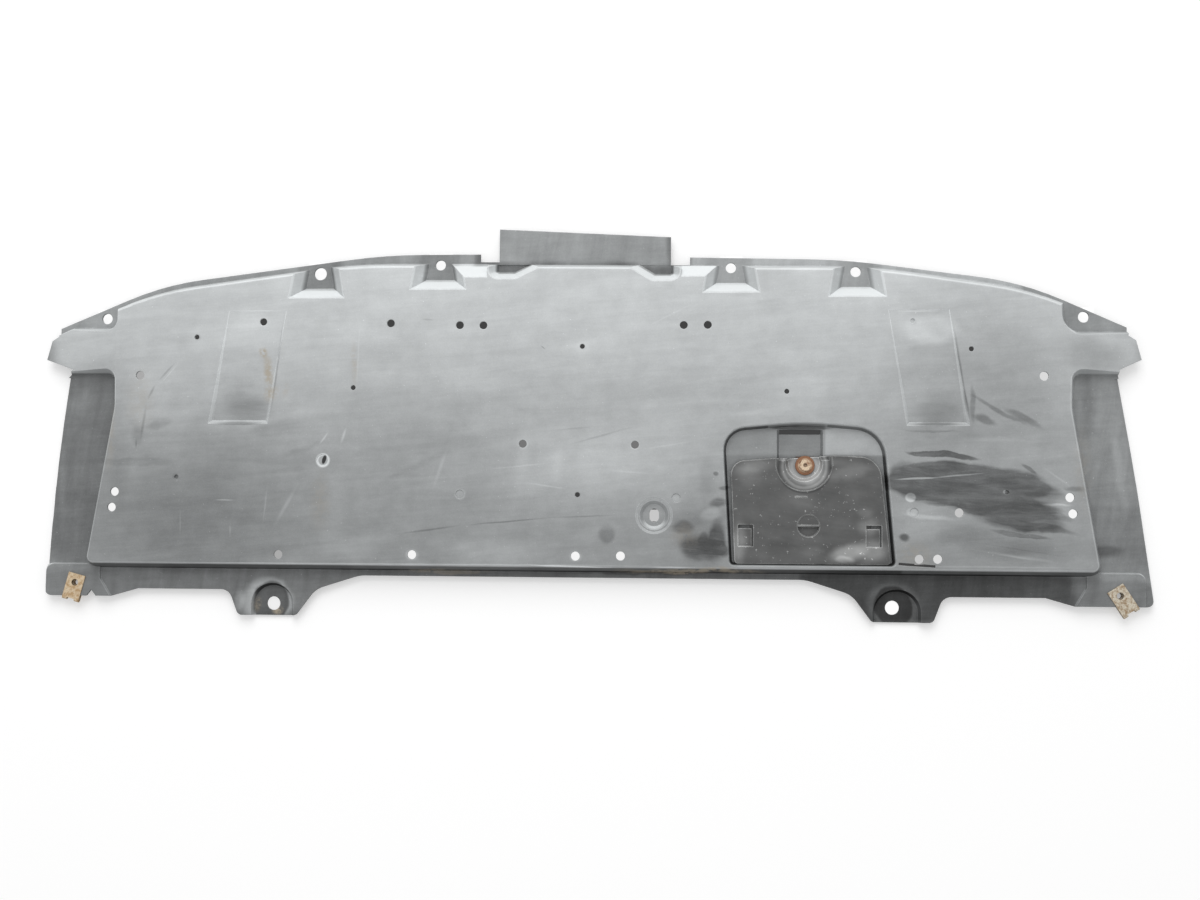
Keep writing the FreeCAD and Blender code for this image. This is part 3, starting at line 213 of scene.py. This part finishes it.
# Rings around the screw: painted light on the dish's wall and painted shade around it
DOOR_DISH_LIGHT_AND_SHADE = [
    (804.5, 467, 24.5, 24, 0, 0.1, 0.16),
    (804.5, 466.5, 21.8, 21.3, 0, 0.1, -0.16),
    (804.5, 468, 29, 27, 0, 0.1, -0.1),
    (804.5, 468, 26.5, 25, 0, 0.1, 0.1),
    (804.5, 466, 13, 12, 0, 0.3, -0.12),
]
# Scratches, and painted light and shade along the sunk pads' edges, the panel's rear rim and a crease: both
# ends in the frame's pixels, half width in mm, soft share, change of tone
SCRATCHES_AND_EDGE_SHADING = [
    # Painted shade along the right and lower edges of the sunk pads, and painted light along their upper
    # edges
    (284, 314, 270, 420, 1.8, 0.8, -0.12),
    (208, 423, 270, 423, 2.4, 0.7, -0.17),
    (904, 424, 970, 424, 2.6, 0.7, -0.2),
    (952, 315, 969, 420, 1.8, 0.9, -0.14),
    (963, 385, 970, 422, 2.4, 0.7, -0.14),
    (230, 311, 286, 311, 1.2, 0.8, 0.07),
    (888, 311, 950, 311, 1.2, 0.8, 0.07),
    # Painted highlight along the panel's rear rim
    (98, 562, 700, 566, 1.1, 0.5, 0.1),
    (520, 565, 620, 568, 1, 0.5, 0.22),
    (645, 567, 700, 568, 1, 0.6, 0.14),
    (892, 566, 1090, 568, 1.1, 0.6, 0.05),
    # A crease in the panel: painted shade with painted light beside it
    (178, 360, 156, 383, 1.6, 0.9, -0.09),
    (156, 383, 147, 401, 1.8, 0.9, -0.1),
    (147, 400, 139.5, 446, 2.2, 0.9, -0.09),
    (180, 362, 159, 385, 0.8, 0.9, 0.06),
    (136, 438, 136, 450, 1.2, 0.9, -0.1),
    # Scratches and other streaks
    (391, 535, 470, 524, 1.6, 0.9, -0.1),
    (455, 526, 560, 517, 1.3, 0.9, -0.12),
    (540, 518, 622, 515, 1.2, 0.9, -0.08),
    (212, 500, 237, 500, 1, 0.7, 0.14),
    (892, 479.5, 940, 477.5, 1.3, 0.5, 0.26),
    (925, 478.5, 990, 472.5, 1.2, 0.7, 0.2),
    (448, 445, 432, 492, 3, 0.9, 0.05),
    (330, 430, 318, 446, 1.5, 0.9, 0.1),
    (347, 425, 340, 446, 2.2, 0.9, 0.1),
    (300, 480, 272, 530, 3, 0.9, 0.06),
    (268, 480, 262, 530, 1.2, 0.9, 0.06),
    (180, 505, 180, 540, 1.2, 0.9, 0.06),
    (230, 520, 230, 540, 1.2, 0.9, 0.06),
    (548, 431, 600, 426, 1.2, 0.9, -0.05),
    (560, 447, 640, 425, 1.6, 0.9, -0.06),
    (520, 482, 575, 490, 1.2, 0.9, 0.06),
    (990, 553, 1040, 561, 1.4, 0.9, 0.06),
    (960, 548, 1080, 566, 2.2, 0.9, 0.05),
    (1040, 465, 1075, 490, 1.6, 0.9, 0.05),
    (960, 540, 1085, 560, 1.2, 0.9, -0.03),
    (700, 300, 640, 330, 1.4, 0.9, 0.03),
    (360, 318, 356, 400, 1.2, 0.9, 0.04),
    (900, 565, 933, 565.5, 1.4, 0.6, -0.35),
    (540, 345, 546, 350, 0.8, 0.8, -0.12),
    (420, 319, 436, 320, 1.5, 0.9, -0.07),
    (640, 450, 700, 440, 1.2, 0.9, 0.04),
    (480, 470, 560, 462, 1.4, 0.9, 0.05),
    (600, 470, 660, 474, 1.4, 0.9, 0.04),
]
# Tones of rectangles of the tray: low and high corner in mm, change of tone
# Mostly darker in the sunk door's bay and under the door: painted shade of the recess
SUNK_SHADE_TONES = [
    (130, -32, 187, 8, -0.09),
    (187, -32, 243, 8, -0.08),
    (243, -32, 318, 8, 0.03),
    (130, -150, 318, -32, -0.12),
]
FLANGE_TONES = [
    (-89, 160, 89, 205, 0.18),
    (-600, -150, -440, 78, 0.05),
    (440, -150, 600, 78, 0.15),
    (-600, -200, -440, -145, 0.06),
    (440, -200, 600, -145, 0.05),
    (-440, -200, -235, -145, 0.05),
    (-560, 80, -110, 178, 0.18),
    (110, 80, 560, 178, 0.18),
    (-172, 140, -126, 178, -0.07),
    (126, 136, 172, 178, -0.07),
    (-298, 131, -252, 172, -0.07),
    (252, 131, 298, 172, -0.07),
    (110, 130, 440, 178, 0.1),
    (225, -200, 490, -145, -0.15),
    (440, -150, 600, -80, -0.05),
]
# The door's bay without most of its channel: low and high corner in mm, share
BAY = [(125, -142, 322, 12, 1), (186, -40, 245, 3, -0.65)]

# The panel's tone, with a painted sheen of the lamp, falls off from the lip to the rear: y in mm and tone,
# between the ends of the ramp
PANEL_TONES_AND_SHEEN = [(-140, 0.6), (-70, 0.62), (-30, 0.655), (10, 0.7), (50, 0.745), (90, 0.78), (150, 0.82)]
PANEL_REAR = -150
PANEL_FRONT = 160
FLANGE_TONE = 0.42
DOOR_TONE = 0.36
# Painted light and shade of walls: shade in the bay, light on faces facing the lip, less light on steeper
# ones facing the lip, and shade at the rear edge
BAY_WALLS_SHADE = -0.3
FRONT_FACES_LIGHT = 0.26
STEEP_FRONT_FACES_LIGHT = 0.03
REAR_FACES_SHADE = -0.24
# Wear and painted highlight on the rounded top rim of the panel
RIM_WEAR_AND_HIGHLIGHT = 0.1
DARKEST_SMEARS = (-0.28, -0.19)
# In metres: heights from flange to panel, from sunk parts to the top and of its rim, and y of the rear edge
FLANGE_TO_PANEL = (0.0092, 0.014)
SUNK_TO_TOP = (0.0195, 0.0228)
RIM_HEIGHTS = (0.0208, 0.0225)
REAR_EDGE = (-0.11, -0.13)
# A tone as it is seen, its limits, and the power that turns it into a reflectance
DARKEST = 0.02
PALEST = 0.95
TONE_POWER = 2.2
TRAY_TINT = (0.965, 1.0, 1.01, 1)
DOOR_TINT = (0.985, 1.0, 0.995, 1)
DIRT_COLOUR = (0.42, 0.36, 0.27, 1)

# Steel of the screw and the clip nuts
STEELS = {
    "door_screw": {
        "name": "screw_steel", "rust_share": 0.46,
        "bare": (0.8, 0.63, 0.45, 1), "rust": (0.3, 0.14, 0.07, 1), "dark": (0.06, 0.03, 0.018, 1),
    },
    "door_clip_nut": {
        "name": "dark_spring_steel", "rust_share": 0.5, "metallic": 0.5,
        "bare": (0.12, 0.1, 0.09, 1), "rust": (0.14, 0.07, 0.04, 1), "dark": (0.03, 0.02, 0.015, 1),
    },
    "corner_clip_left": {
        "name": "rusty_spring_steel", "rust_share": 0.48,
        "bare": (0.72, 0.58, 0.4, 1), "rust": (0.5, 0.33, 0.17, 1), "dark": (0.07, 0.05, 0.035, 1),
    },
    "corner_clip_right": {
        "name": "zinc_spring_steel", "rust_share": 0.48,
        "bare": (0.68, 0.62, 0.5, 1), "rust": (0.34, 0.23, 0.13, 1), "dark": (0.07, 0.05, 0.04, 1),
    },
}
PALE_HEAD_RADIUS = 7.8

# The white floor, and the dark ground under the shield, a sheet of painted shade: low and high corner in mm
FLOOR = [(-6000, -6000, 6000, 6000)]
SHADE_SHEET = [(-468, -148, 468, 118)]
# What shows through the holes: glowing squares of ground, painted light leaking under the shield, by its
# glow: middle in the frame's pixels and half width in mm
HOLE_LIGHT_PATCHES = {
    0.9: [
        (1070, 497.5, 8), (114.5, 491.5, 8), (1073, 514, 8), (111.5, 507, 8),
        (411.5, 554.5, 5), (575, 556, 5), (620.5, 556, 5),
        (441, 265.5, 12), (731, 268, 12), (320.5, 274, 12), (855.5, 272, 12),
        (107.5, 319, 10), (1083.5, 317, 10), (892, 608, 10),
    ],
    0.7: [(1044.5, 376, 7), (937.5, 559, 5), (274, 603, 10)],
    0.55: [(919.5, 559.5, 5), (959.5, 513, 5), (654, 515.5, 6)],
    0.4: [(140, 375.5, 7), (278, 554.5, 5)],
    0.18: [(523, 443.5, 9), (635, 444.5, 9)],
}
FLOOR_LEVEL = -0.6
SHADE_SHEET_LEVEL = -0.4
HOLE_LIGHT_LEVEL = -0.2


# Places that the camera sees
def camera_turn():
    return Euler([math.radians(angle) for angle in CAMERA_TURN], "XYZ")


def seen_at(x, y, level):
    """The place in mm, on a level in mm, that the camera sees at a pixel of the frame."""
    reach = FRAME_WIDTH * LENS_MM / SENSOR_MM
    sight = Vector(((x - FRAME_WIDTH / 2) / reach, (FRAME_HEIGHT / 2 - y) / reach, -1))
    sight.rotate(camera_turn())
    eye = Vector(CAMERA_PLACE) / MM
    return eye + sight * ((level - eye.z) / sight.z)


def spots(rows, level):
    """Marks on a level, with their places and sizes turned from pixels into mm."""
    for x, y, length, width, turn, soft, amount in rows:
        middle = seen_at(x, y, level)
        pixel = (seen_at(x + 10, y, level) - middle).length / 10
        yield middle.x, middle.y, length * pixel, width * pixel, turn, soft, amount


def strokes(rows, level):
    """Scratches and painted edge lines on a level as long thin marks in mm."""
    for x0, y0, x1, y1, width, soft, amount in rows:
        start = seen_at(x0, y0, level)
        end = seen_at(x1, y1, level)
        middle = (start + end) / 2
        along = end - start
        turn = math.degrees(math.atan2(along.y, along.x))
        yield middle.x, middle.y, along.length / 2, width, turn, soft, amount


# Node building: values are set on sockets and sockets are linked
def add(tree, kind, inputs=(), **settings):
    node = tree.nodes.new("ShaderNode" + kind)
    for name, value in settings.items():
        setattr(node, name, value)
    for key, value in dict(inputs).items():
        if isinstance(value, bpy.types.NodeSocket):
            tree.links.new(value, node.inputs[key])
        else:
            node.inputs[key].default_value = value
    return node


def maths(tree, operation, a, b=0.0, c=0.0):
    return add(tree, "Math", {0: a, 1: b, 2: c}, operation=operation).outputs[0]


def fade(tree, value, start, end, low=0.0, high=1.0, kind="SMOOTHSTEP"):
    """From low at the start value to high at the end value."""
    node = add(tree, "MapRange", {0: value, 1: start, 2: end, 3: low, 4: high}, interpolation_type=kind)
    return node.outputs[0]


def swing(tree, value, amount, spread=0.2):
    """Noise turned into a change of tone of up to the amount either way."""
    return fade(tree, value, 0.5 - spread, 0.5 + spread, -amount, amount, "LINEAR")


def total(tree, values):
    result = values[0]
    for value in values[1:]:
        result = maths(tree, "ADD", result, value)
    return result


def noise(tree, place, scale, detail, roughness, distortion=0.0):
    inputs = {"Vector": place, "Scale": scale, "Detail": detail}
    inputs |= {"Roughness": roughness, "Distortion": distortion}
    return add(tree, "TexNoise", inputs).outputs[0]


def stretched(tree, place, scale, turn):
    turned = add(tree, "Mapping", {"Vector": place, "Rotation": (0, 0, math.radians(turn))})
    return add(tree, "Mapping", {"Vector": turned.outputs[0], "Scale": scale}).outputs[0]


def mixed(tree, share, a, b):
    return add(tree, "Mix", {0: share, 6: a, 7: b}, data_type="RGBA").outputs[2]


def vector_maths(tree, operation, inputs):
    return add(tree, "VectorMath", inputs, operation=operation).outputs


def ragged(tree, place, scale, size):
    """The place moved about by noise, so that marks get ragged edges."""
    wave = add(tree, "TexNoise", {"Vector": place, "Scale": scale, "Detail": 5.0}).outputs[1]
    centred = vector_maths(tree, "SUBTRACT", {0: wave, 1: (0.5, 0.5, 0.5)})[0]
    moved = vector_maths(tree, "SCALE", {0: centred, "Scale": size})[0]
    return vector_maths(tree, "ADD", {0: place, 1: moved})[0]


def marks(tree, place, rows):
    """The summed change of tone of elliptical marks; the sum is carried along as the place's height."""
    place = vector_maths(tree, "MULTIPLY", {0: place, 1: (1, 1, 0)})[0]
    for x, y, length, width, turn, soft, amount in rows:
        inputs = {
            "Vector": place, "Location": (x * MM, y * MM, 0), "Rotation": (0, 0, math.radians(turn)),
            "Scale": (length * MM, width * MM, 1000),
        }
        local = add(tree, "Mapping", inputs, vector_type="TEXTURE").outputs[0]
        reach = vector_maths(tree, "LENGTH", {0: local})[1]
        change = fade(tree, reach, 1.0, 1.0 - soft, 0.0, amount)
        place = vector_maths(tree, "MULTIPLY_ADD", {0: change, 1: (0, 0, 1), 2: place})[0]
    return add(tree, "SeparateXYZ", {0: place}).outputs[2]


def blocks(tree, place, rows, edge):
    """The summed change of tone of rectangles with soft edges."""
    change = 0.0
    for x0, y0, x1, y1, amount in rows:
        middle = ((x0 + x1) / 2 * MM, (y0 + y1) / 2 * MM, 0)
        away = vector_maths(tree, "SUBTRACT", {0: place, 1: middle})[0]
        sides = add(tree, "SeparateXYZ", {0: vector_maths(tree, "ABSOLUTE", {0: away})[0]})
        half = ((x1 - x0) / 2 * MM, (y1 - y0) / 2 * MM)
        across = fade(tree, sides.outputs[0], half[0] + edge, half[0] - edge)
        along = fade(tree, sides.outputs[1], half[1] + edge, half[1] - edge, 0.0, amount)
        change = maths(tree, "MULTIPLY_ADD", across, along, change)
    return change


def edges(tree, radius):
    """The rounded normal, and how far the surface turns within the radius: 0 on a flat face."""
    rounded = add(tree, "Bevel", {"Radius": radius}, samples=6).outputs[0]
    plain = add(tree, "NewGeometry").outputs["Normal"]
    agree = vector_maths(tree, "DOT_PRODUCT", {0: rounded, 1: plain})[1]
    return rounded, fade(tree, agree, 0.999, 0.93)


def openness(tree, distance):
    """How open a corner is: 0 deep in it; used to paint shade into corners."""
    return add(tree, "AmbientOcclusion", {"Distance": distance}, samples=4, inside=False).outputs[1]


def coloured(tree, tone, tint):
    """A tone, as it is seen, turned into a reflectance with a tint."""
    kept = add(tree, "Clamp", {0: tone, 1: DARKEST, 2: PALEST}).outputs[0]
    level = maths(tree, "POWER", kept, TONE_POWER)
    return add(tree, "Mix", {0: 1.0, 6: tint, 7: level}, data_type="RGBA", blend_type="MULTIPLY").outputs[2]


def material(name, roughness, metallic=0.0):
    made = bpy.data.materials.new(name)
    made.use_nodes = True
    shader = made.node_tree.nodes["Principled BSDF"]
    shader.inputs["Roughness"].default_value = roughness
    shader.inputs["Metallic"].default_value = metallic
    return made, made.node_tree, shader


def surface(tree, shader, colour, rounded, grain, strength):
    tree.links.new(colour, shader.inputs["Base Color"])
    bump = add(tree, "Bump", {"Height": grain, "Normal": rounded, "Strength": strength, "Distance": 0.0004})
    tree.links.new(bump.outputs[0], shader.inputs["Normal"])


# The tray's plastic: black, worn and hazed to grey, with painted sheen, light and shade
def panel_tone_and_sheen_ramp(tree, y):
    """The panel's tone from the rear to the lip, with a painted sheen that grows towards the lamp's side."""
    ramp = add(tree, "ValToRGB", {0: fade(tree, y, PANEL_REAR * MM, PANEL_FRONT * MM, kind="LINEAR")})
    stops = ramp.color_ramp.elements
    for number, (where, tone) in enumerate(PANEL_TONES_AND_SHEEN):
        spot = (where - PANEL_REAR) / (PANEL_FRONT - PANEL_REAR)
        stop = stops[number] if number < 2 else stops.new(spot)
        stop.position = spot
        stop.color = (tone, tone, tone, 1)
    return ramp.outputs[0]


def smears(tree, place, rough):
    """Greasy dark areas, streaked along the shield and no darker than a limit that varies."""
    wet = noise(tree, stretched(tree, place, (9, 120, 9), 4), 1, 5, 0.6, 0.3)
    depth = noise(tree, stretched(tree, place, (20, 110, 20), 4), 1, 5, 0.65, 0.4)
    change = marks(tree, rough, spots(SMEARS, PANEL_TOP))
    streaked = maths(tree, "MULTIPLY", change, fade(tree, wet, 0.34, 0.52, 0.75, 1.15))
    return maths(tree, "MAXIMUM", streaked, fade(tree, depth, 0.36, 0.64, *DARKEST_SMEARS))


def grain(tree, place, specks):
    """Fine changes of tone all over the tray."""
    streaks = noise(tree, stretched(tree, place, (9, 60, 9), -4), 1, 6, 0.6, 0.6)
    wiped = noise(tree, stretched(tree, place, (24, 300, 24), -5), 1, 3, 0.6, 0.3)
    return total(tree, [
        swing(tree, streaks, 0.024),
        swing(tree, noise(tree, place, 14, 5, 0.6), 0.02),
        swing(tree, noise(tree, place, 50, 4, 0.65), 0.02),
        swing(tree, wiped, 0.007, 0.15),
        swing(tree, specks, 0.014),
        fade(tree, noise(tree, place, 420, 2, 0.6), 0.7, 0.76, 0.0, 0.12),
    ])


def painted_wall_light_and_shade(tree, place, y, normal):
    """Painted light and shade of the sloping walls, by where they are and where they face: lighter facing the
    lamp at the lip, darker facing the rear and in the bay.
    """
    inside = blocks(tree, place, BAY, 0.001)
    outside = maths(tree, "SUBTRACT", 1.0, inside)
    lip_light_by_steepness = fade(tree, normal["Y"], 0.8, 0.92, FRONT_FACES_LIGHT, STEEP_FRONT_FACES_LIGHT)
    lit_facing_lip = maths(tree, "MULTIPLY", fade(tree, normal["Y"], 0.2, 0.75), lip_light_by_steepness)
    shaded_facing_rear = fade(tree, normal["Y"], -0.2, -0.8, 0.0, REAR_FACES_SHADE)
    return total(tree, [
        maths(tree, "MULTIPLY", lit_facing_lip, outside),
        maths(tree, "MULTIPLY", shaded_facing_rear, fade(tree, y, *REAR_EDGE)),
        maths(tree, "MULTIPLY", fade(tree, normal["Z"], 0.95, 0.6, 0.0, BAY_WALLS_SHADE), inside),
    ])


def brown_dirt(tree, place, rough):
    patchy = fade(tree, noise(tree, place, 160, 4, 0.7), 0.35, 0.55, 0.0, 1.5)
    return maths(tree, "MULTIPLY", marks(tree, rough, spots(BROWN, PANEL_TOP)), patchy)


def tray_plastic():
    made, tree, shader = material("tray_plastic", 0.48)
    place = add(tree, "TexCoord").outputs["Object"]
    parts = add(tree, "SeparateXYZ", {0: place}).outputs
    y = parts["Y"]
    height = parts["Z"]
    normal = add(tree, "SeparateXYZ", {0: add(tree, "NewGeometry").outputs["Normal"]}).outputs
    soft = ragged(tree, place, 6, 0.05)
    rough = ragged(tree, place, 28, 0.012)
    fine = ragged(tree, place, 60, 0.0012)
    specks = noise(tree, place, 700, 2, 0.7)
    low = maths(tree, "SUBTRACT", 1.0, fade(tree, height, *SUNK_TO_TOP))
    panel = total(tree, [
        # The panel's tone, with a painted sheen paler towards the lamp at the lip
        panel_tone_and_sheen_ramp(tree, y),
        # Haze, and painted sheen, in broad soft marks
        marks(tree, soft, spots(HAZE_AND_SHEEN, PANEL_TOP)),
        smears(tree, place, rough),
        marks(tree, fine, spots(DISCS, PANEL_TOP)),
        # Scratches, and painted light and shade along edges and a crease
        marks(tree, fine, strokes(SCRATCHES_AND_EDGE_SHADING, PANEL_TOP)),
        # Painted shade in the sunk door's bay
        maths(tree, "MULTIPLY", low, blocks(tree, place, SUNK_SHADE_TONES, 0.0015)),
    ])
    flange = total(tree, [
        maths(tree, "ADD", blocks(tree, soft, FLANGE_TONES, 0.004), FLANGE_TONE),
        marks(tree, rough, spots(FLANGE_MARKS, FLANGE_TOP)),
        swing(tree, noise(tree, stretched(tree, place, (70, 9, 9), 8), 1, 5, 0.6, 0.4), 0.035),
    ])
    raised = fade(tree, height, *FLANGE_TO_PANEL)
    base = add(tree, "Mix", {0: raised, 2: flange, 3: panel}, data_type="FLOAT").outputs[0]
    rounded, turn = edges(tree, 0.0011)
    rim = fade(tree, height, *RIM_HEIGHTS, 0.0, RIM_WEAR_AND_HIGHLIGHT)
    edge_wear_and_highlight = fade(tree, noise(tree, place, 90, 4, 0.6), 0.3, 0.6, 0.02, 0.12)
    tone = total(tree, [
        base,
        grain(tree, place, specks),
        # Painted light and shade on the walls
        maths(tree, "MULTIPLY", low, painted_wall_light_and_shade(tree, place, y, normal)),
        # Wear and painted highlight on the rounded top rim
        maths(tree, "MULTIPLY", fade(tree, normal["Z"], 0.995, 0.9), rim),
        # Wear and painted highlight on edges where the surface turns
        maths(tree, "MULTIPLY", turn, edge_wear_and_highlight),
        # Painted shade in corners
        fade(tree, openness(tree, 0.005), 0.3, 0.8, -0.09, 0.0),
    ])
    plastic = coloured(tree, tone, TRAY_TINT)
    colour = mixed(tree, brown_dirt(tree, place, rough), plastic, DIRT_COLOUR)
    surface(tree, shader, colour, rounded, specks, 0.12)
    return made


# The door's plastic: black with dust, with painted light and shade
def door_plastic():
    made, tree, shader = material("door_plastic", 0.42)
    place = add(tree, "TexCoord").outputs["Object"]
    rough = ragged(tree, place, 40, 0.01)
    fine = ragged(tree, place, 60, 0.0012)
    streaks = noise(tree, stretched(tree, place, (14, 60, 14), 8), 1, 6, 0.65, 0.5)
    clouds = noise(tree, place, 30, 5, 0.65)
    specks = noise(tree, place, 330, 2, 0.6)
    rounded, turn = edges(tree, 0.0016)
    tone = total(tree, [
        # Dust, and a painted highlight in the dish around the screw
        maths(tree, "ADD", marks(tree, rough, spots(DOOR_DUST_AND_DISH_LIGHT, DOOR_TOP)), DOOR_TONE),
        # Painted light and shade of the dish's rings
        marks(tree, fine, spots(DOOR_DISH_LIGHT_AND_SHADE, DOOR_TOP)),
        swing(tree, streaks, 0.03),
        swing(tree, clouds, 0.03),
        fade(tree, specks, 0.66, 0.74, 0.0, 0.28),
        # Wear and painted highlight on edges where the surface turns
        maths(tree, "MULTIPLY", turn, fade(tree, clouds, 0.3, 0.6, 0.14, 0.34)),
        # Painted shade in corners
        fade(tree, openness(tree, 0.006), 0.3, 0.8, -0.1, 0.0),
    ])
    colour = coloured(tree, tone, DOOR_TINT)
    surface(tree, shader, colour, rounded, noise(tree, place, 700, 2, 0.7), 0.12)
    return made


# Steel with rust; the screw's washer head is paler than its rim
def rusty_steel(name, bare, rust, dark, rust_share, metallic=0.0, head=None):
    made, tree, shader = material(name, 0.55, metallic)
    place = add(tree, "TexCoord").outputs["Object"]
    spread = noise(tree, place, 260, 6, 0.65)
    spotty = noise(tree, place, 900, 4, 0.7)
    rounded = edges(tree, 0.0005)[0]
    colour = mixed(tree, fade(tree, spread, rust_share + 0.12, rust_share - 0.12), bare, rust)
    if head:
        pale = (head.x / MM, head.y / MM, PALE_HEAD_RADIUS, PALE_HEAD_RADIUS, 0, 0.25, 1)
        colour = mixed(tree, marks(tree, place, [pale]), rust, colour)
    colour = mixed(tree, fade(tree, spotty, 0.56, 0.7), colour, dark)
    # Painted shade: darker deep in corners
    colour = mixed(tree, fade(tree, openness(tree, 0.004), 0.7, 0.15, 0.0, 0.85), colour, dark)
    surface(tree, shader, colour, rounded, spotty, 0.3)
    return made


# Floor, ground, sky and lamp
def plates(name, rows, level, look):
    """Flat rectangles, in mm, of the ground as one object of the stage."""
    points = []
    faces = []
    for x0, y0, x1, y1 in rows:
        first = len(points)
        points += [(x0 * MM, y0 * MM, 0), (x1 * MM, y0 * MM, 0), (x1 * MM, y1 * MM, 0), (x0 * MM, y1 * MM, 0)]
        faces.append(tuple(range(first, first + 4)))
    mesh = bpy.data.meshes.new(name)
    mesh.from_pydata(points, [], faces)
    mesh.materials.append(look)
    plate = bpy.data.objects.new(name, mesh)
    plate.location.z = level * MM
    scene.collection.objects.link(plate)


def ground(name, reflectance, glow):
    """A matt ground; the glow is seen only by the camera."""
    made, tree, shader = material(name, 0.9)
    shader.inputs["Base Color"].default_value = (reflectance, reflectance, reflectance, 1)
    shader.inputs["Emission Color"].default_value = WHITE
    seen = add(tree, "LightPath").outputs["Is Camera Ray"]
    tree.links.new(maths(tree, "MULTIPLY", seen, glow), shader.inputs["Emission Strength"])
    return made


def hole_light_squares(rows):
    """Squares of glowing ground, painted light, that the camera sees through the holes."""
    for x, y, half in rows:
        middle = seen_at(x, y, GROUND)
        yield middle.x - half, middle.y - half, middle.x + half, middle.y + half


def build_grounds():
    plates("floor", FLOOR, FLOOR_LEVEL, ground("floor", 0.8, 0.33))
    # A dark sheet under the shield: painted shade seen through the middle holes
    plates("shade_sheet", SHADE_SHEET, SHADE_SHEET_LEVEL, ground("shade_sheet", 0.02, 0.055))
    # Glowing squares under the holes: painted light leaking under the shield
    for number, (glow, rows) in enumerate(HOLE_LIGHT_PATCHES.items(), 1):
        name = f"ground_{number}"
        plates(name, hole_light_squares(rows), HOLE_LIGHT_LEVEL, ground(name, 0.2, glow))


def build_sky():
    """An even sky, which is plain white where the camera sees it."""
    world = bpy.data.worlds.new("world")
    world.use_nodes = True
    tree = world.node_tree
    background = tree.nodes["Background"]
    background.inputs["Color"].default_value = WHITE
    seen = add(tree, "LightPath").outputs["Is Camera Ray"]
    tree.links.new(fade(tree, seen, 0.0, 1.0, SKY, 1.0, "LINEAR"), background.inputs["Strength"])
    scene.world = world


def build_lamp():
    lamp = bpy.data.lights.new("key", "AREA")
    lamp.energy = LAMP_WATTS
    lamp.size = LAMP_SIZE
    key = bpy.data.objects.new("key", lamp)
    key.location = LAMP_PLACE
    key.rotation_euler = (-key.location).to_track_quat("-Z", "Y").to_euler()
    scene.collection.objects.link(key)


def build_camera():
    camera = bpy.data.objects.new("camera", bpy.data.cameras.new("camera"))
    camera.data.lens = LENS_MM
    camera.data.sensor_width = SENSOR_MM
    camera.location = CAMERA_PLACE
    camera.rotation_euler = camera_turn()
    scene.collection.objects.link(camera)
    scene.camera = camera


def middle_of(node):
    low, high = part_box(node)
    return (Vector(low) + Vector(high)) / 2


def wear(node, look):
    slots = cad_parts[node].data.materials
    slots.clear()
    slots.append(look)


build_camera()
build_grounds()
build_sky()
build_lamp()
wear("tray", tray_plastic())
wear("service_door", door_plastic())
STEELS["door_screw"]["head"] = middle_of("door_screw")
for piece, steel in STEELS.items():
    wear(piece, rusty_steel(**steel))
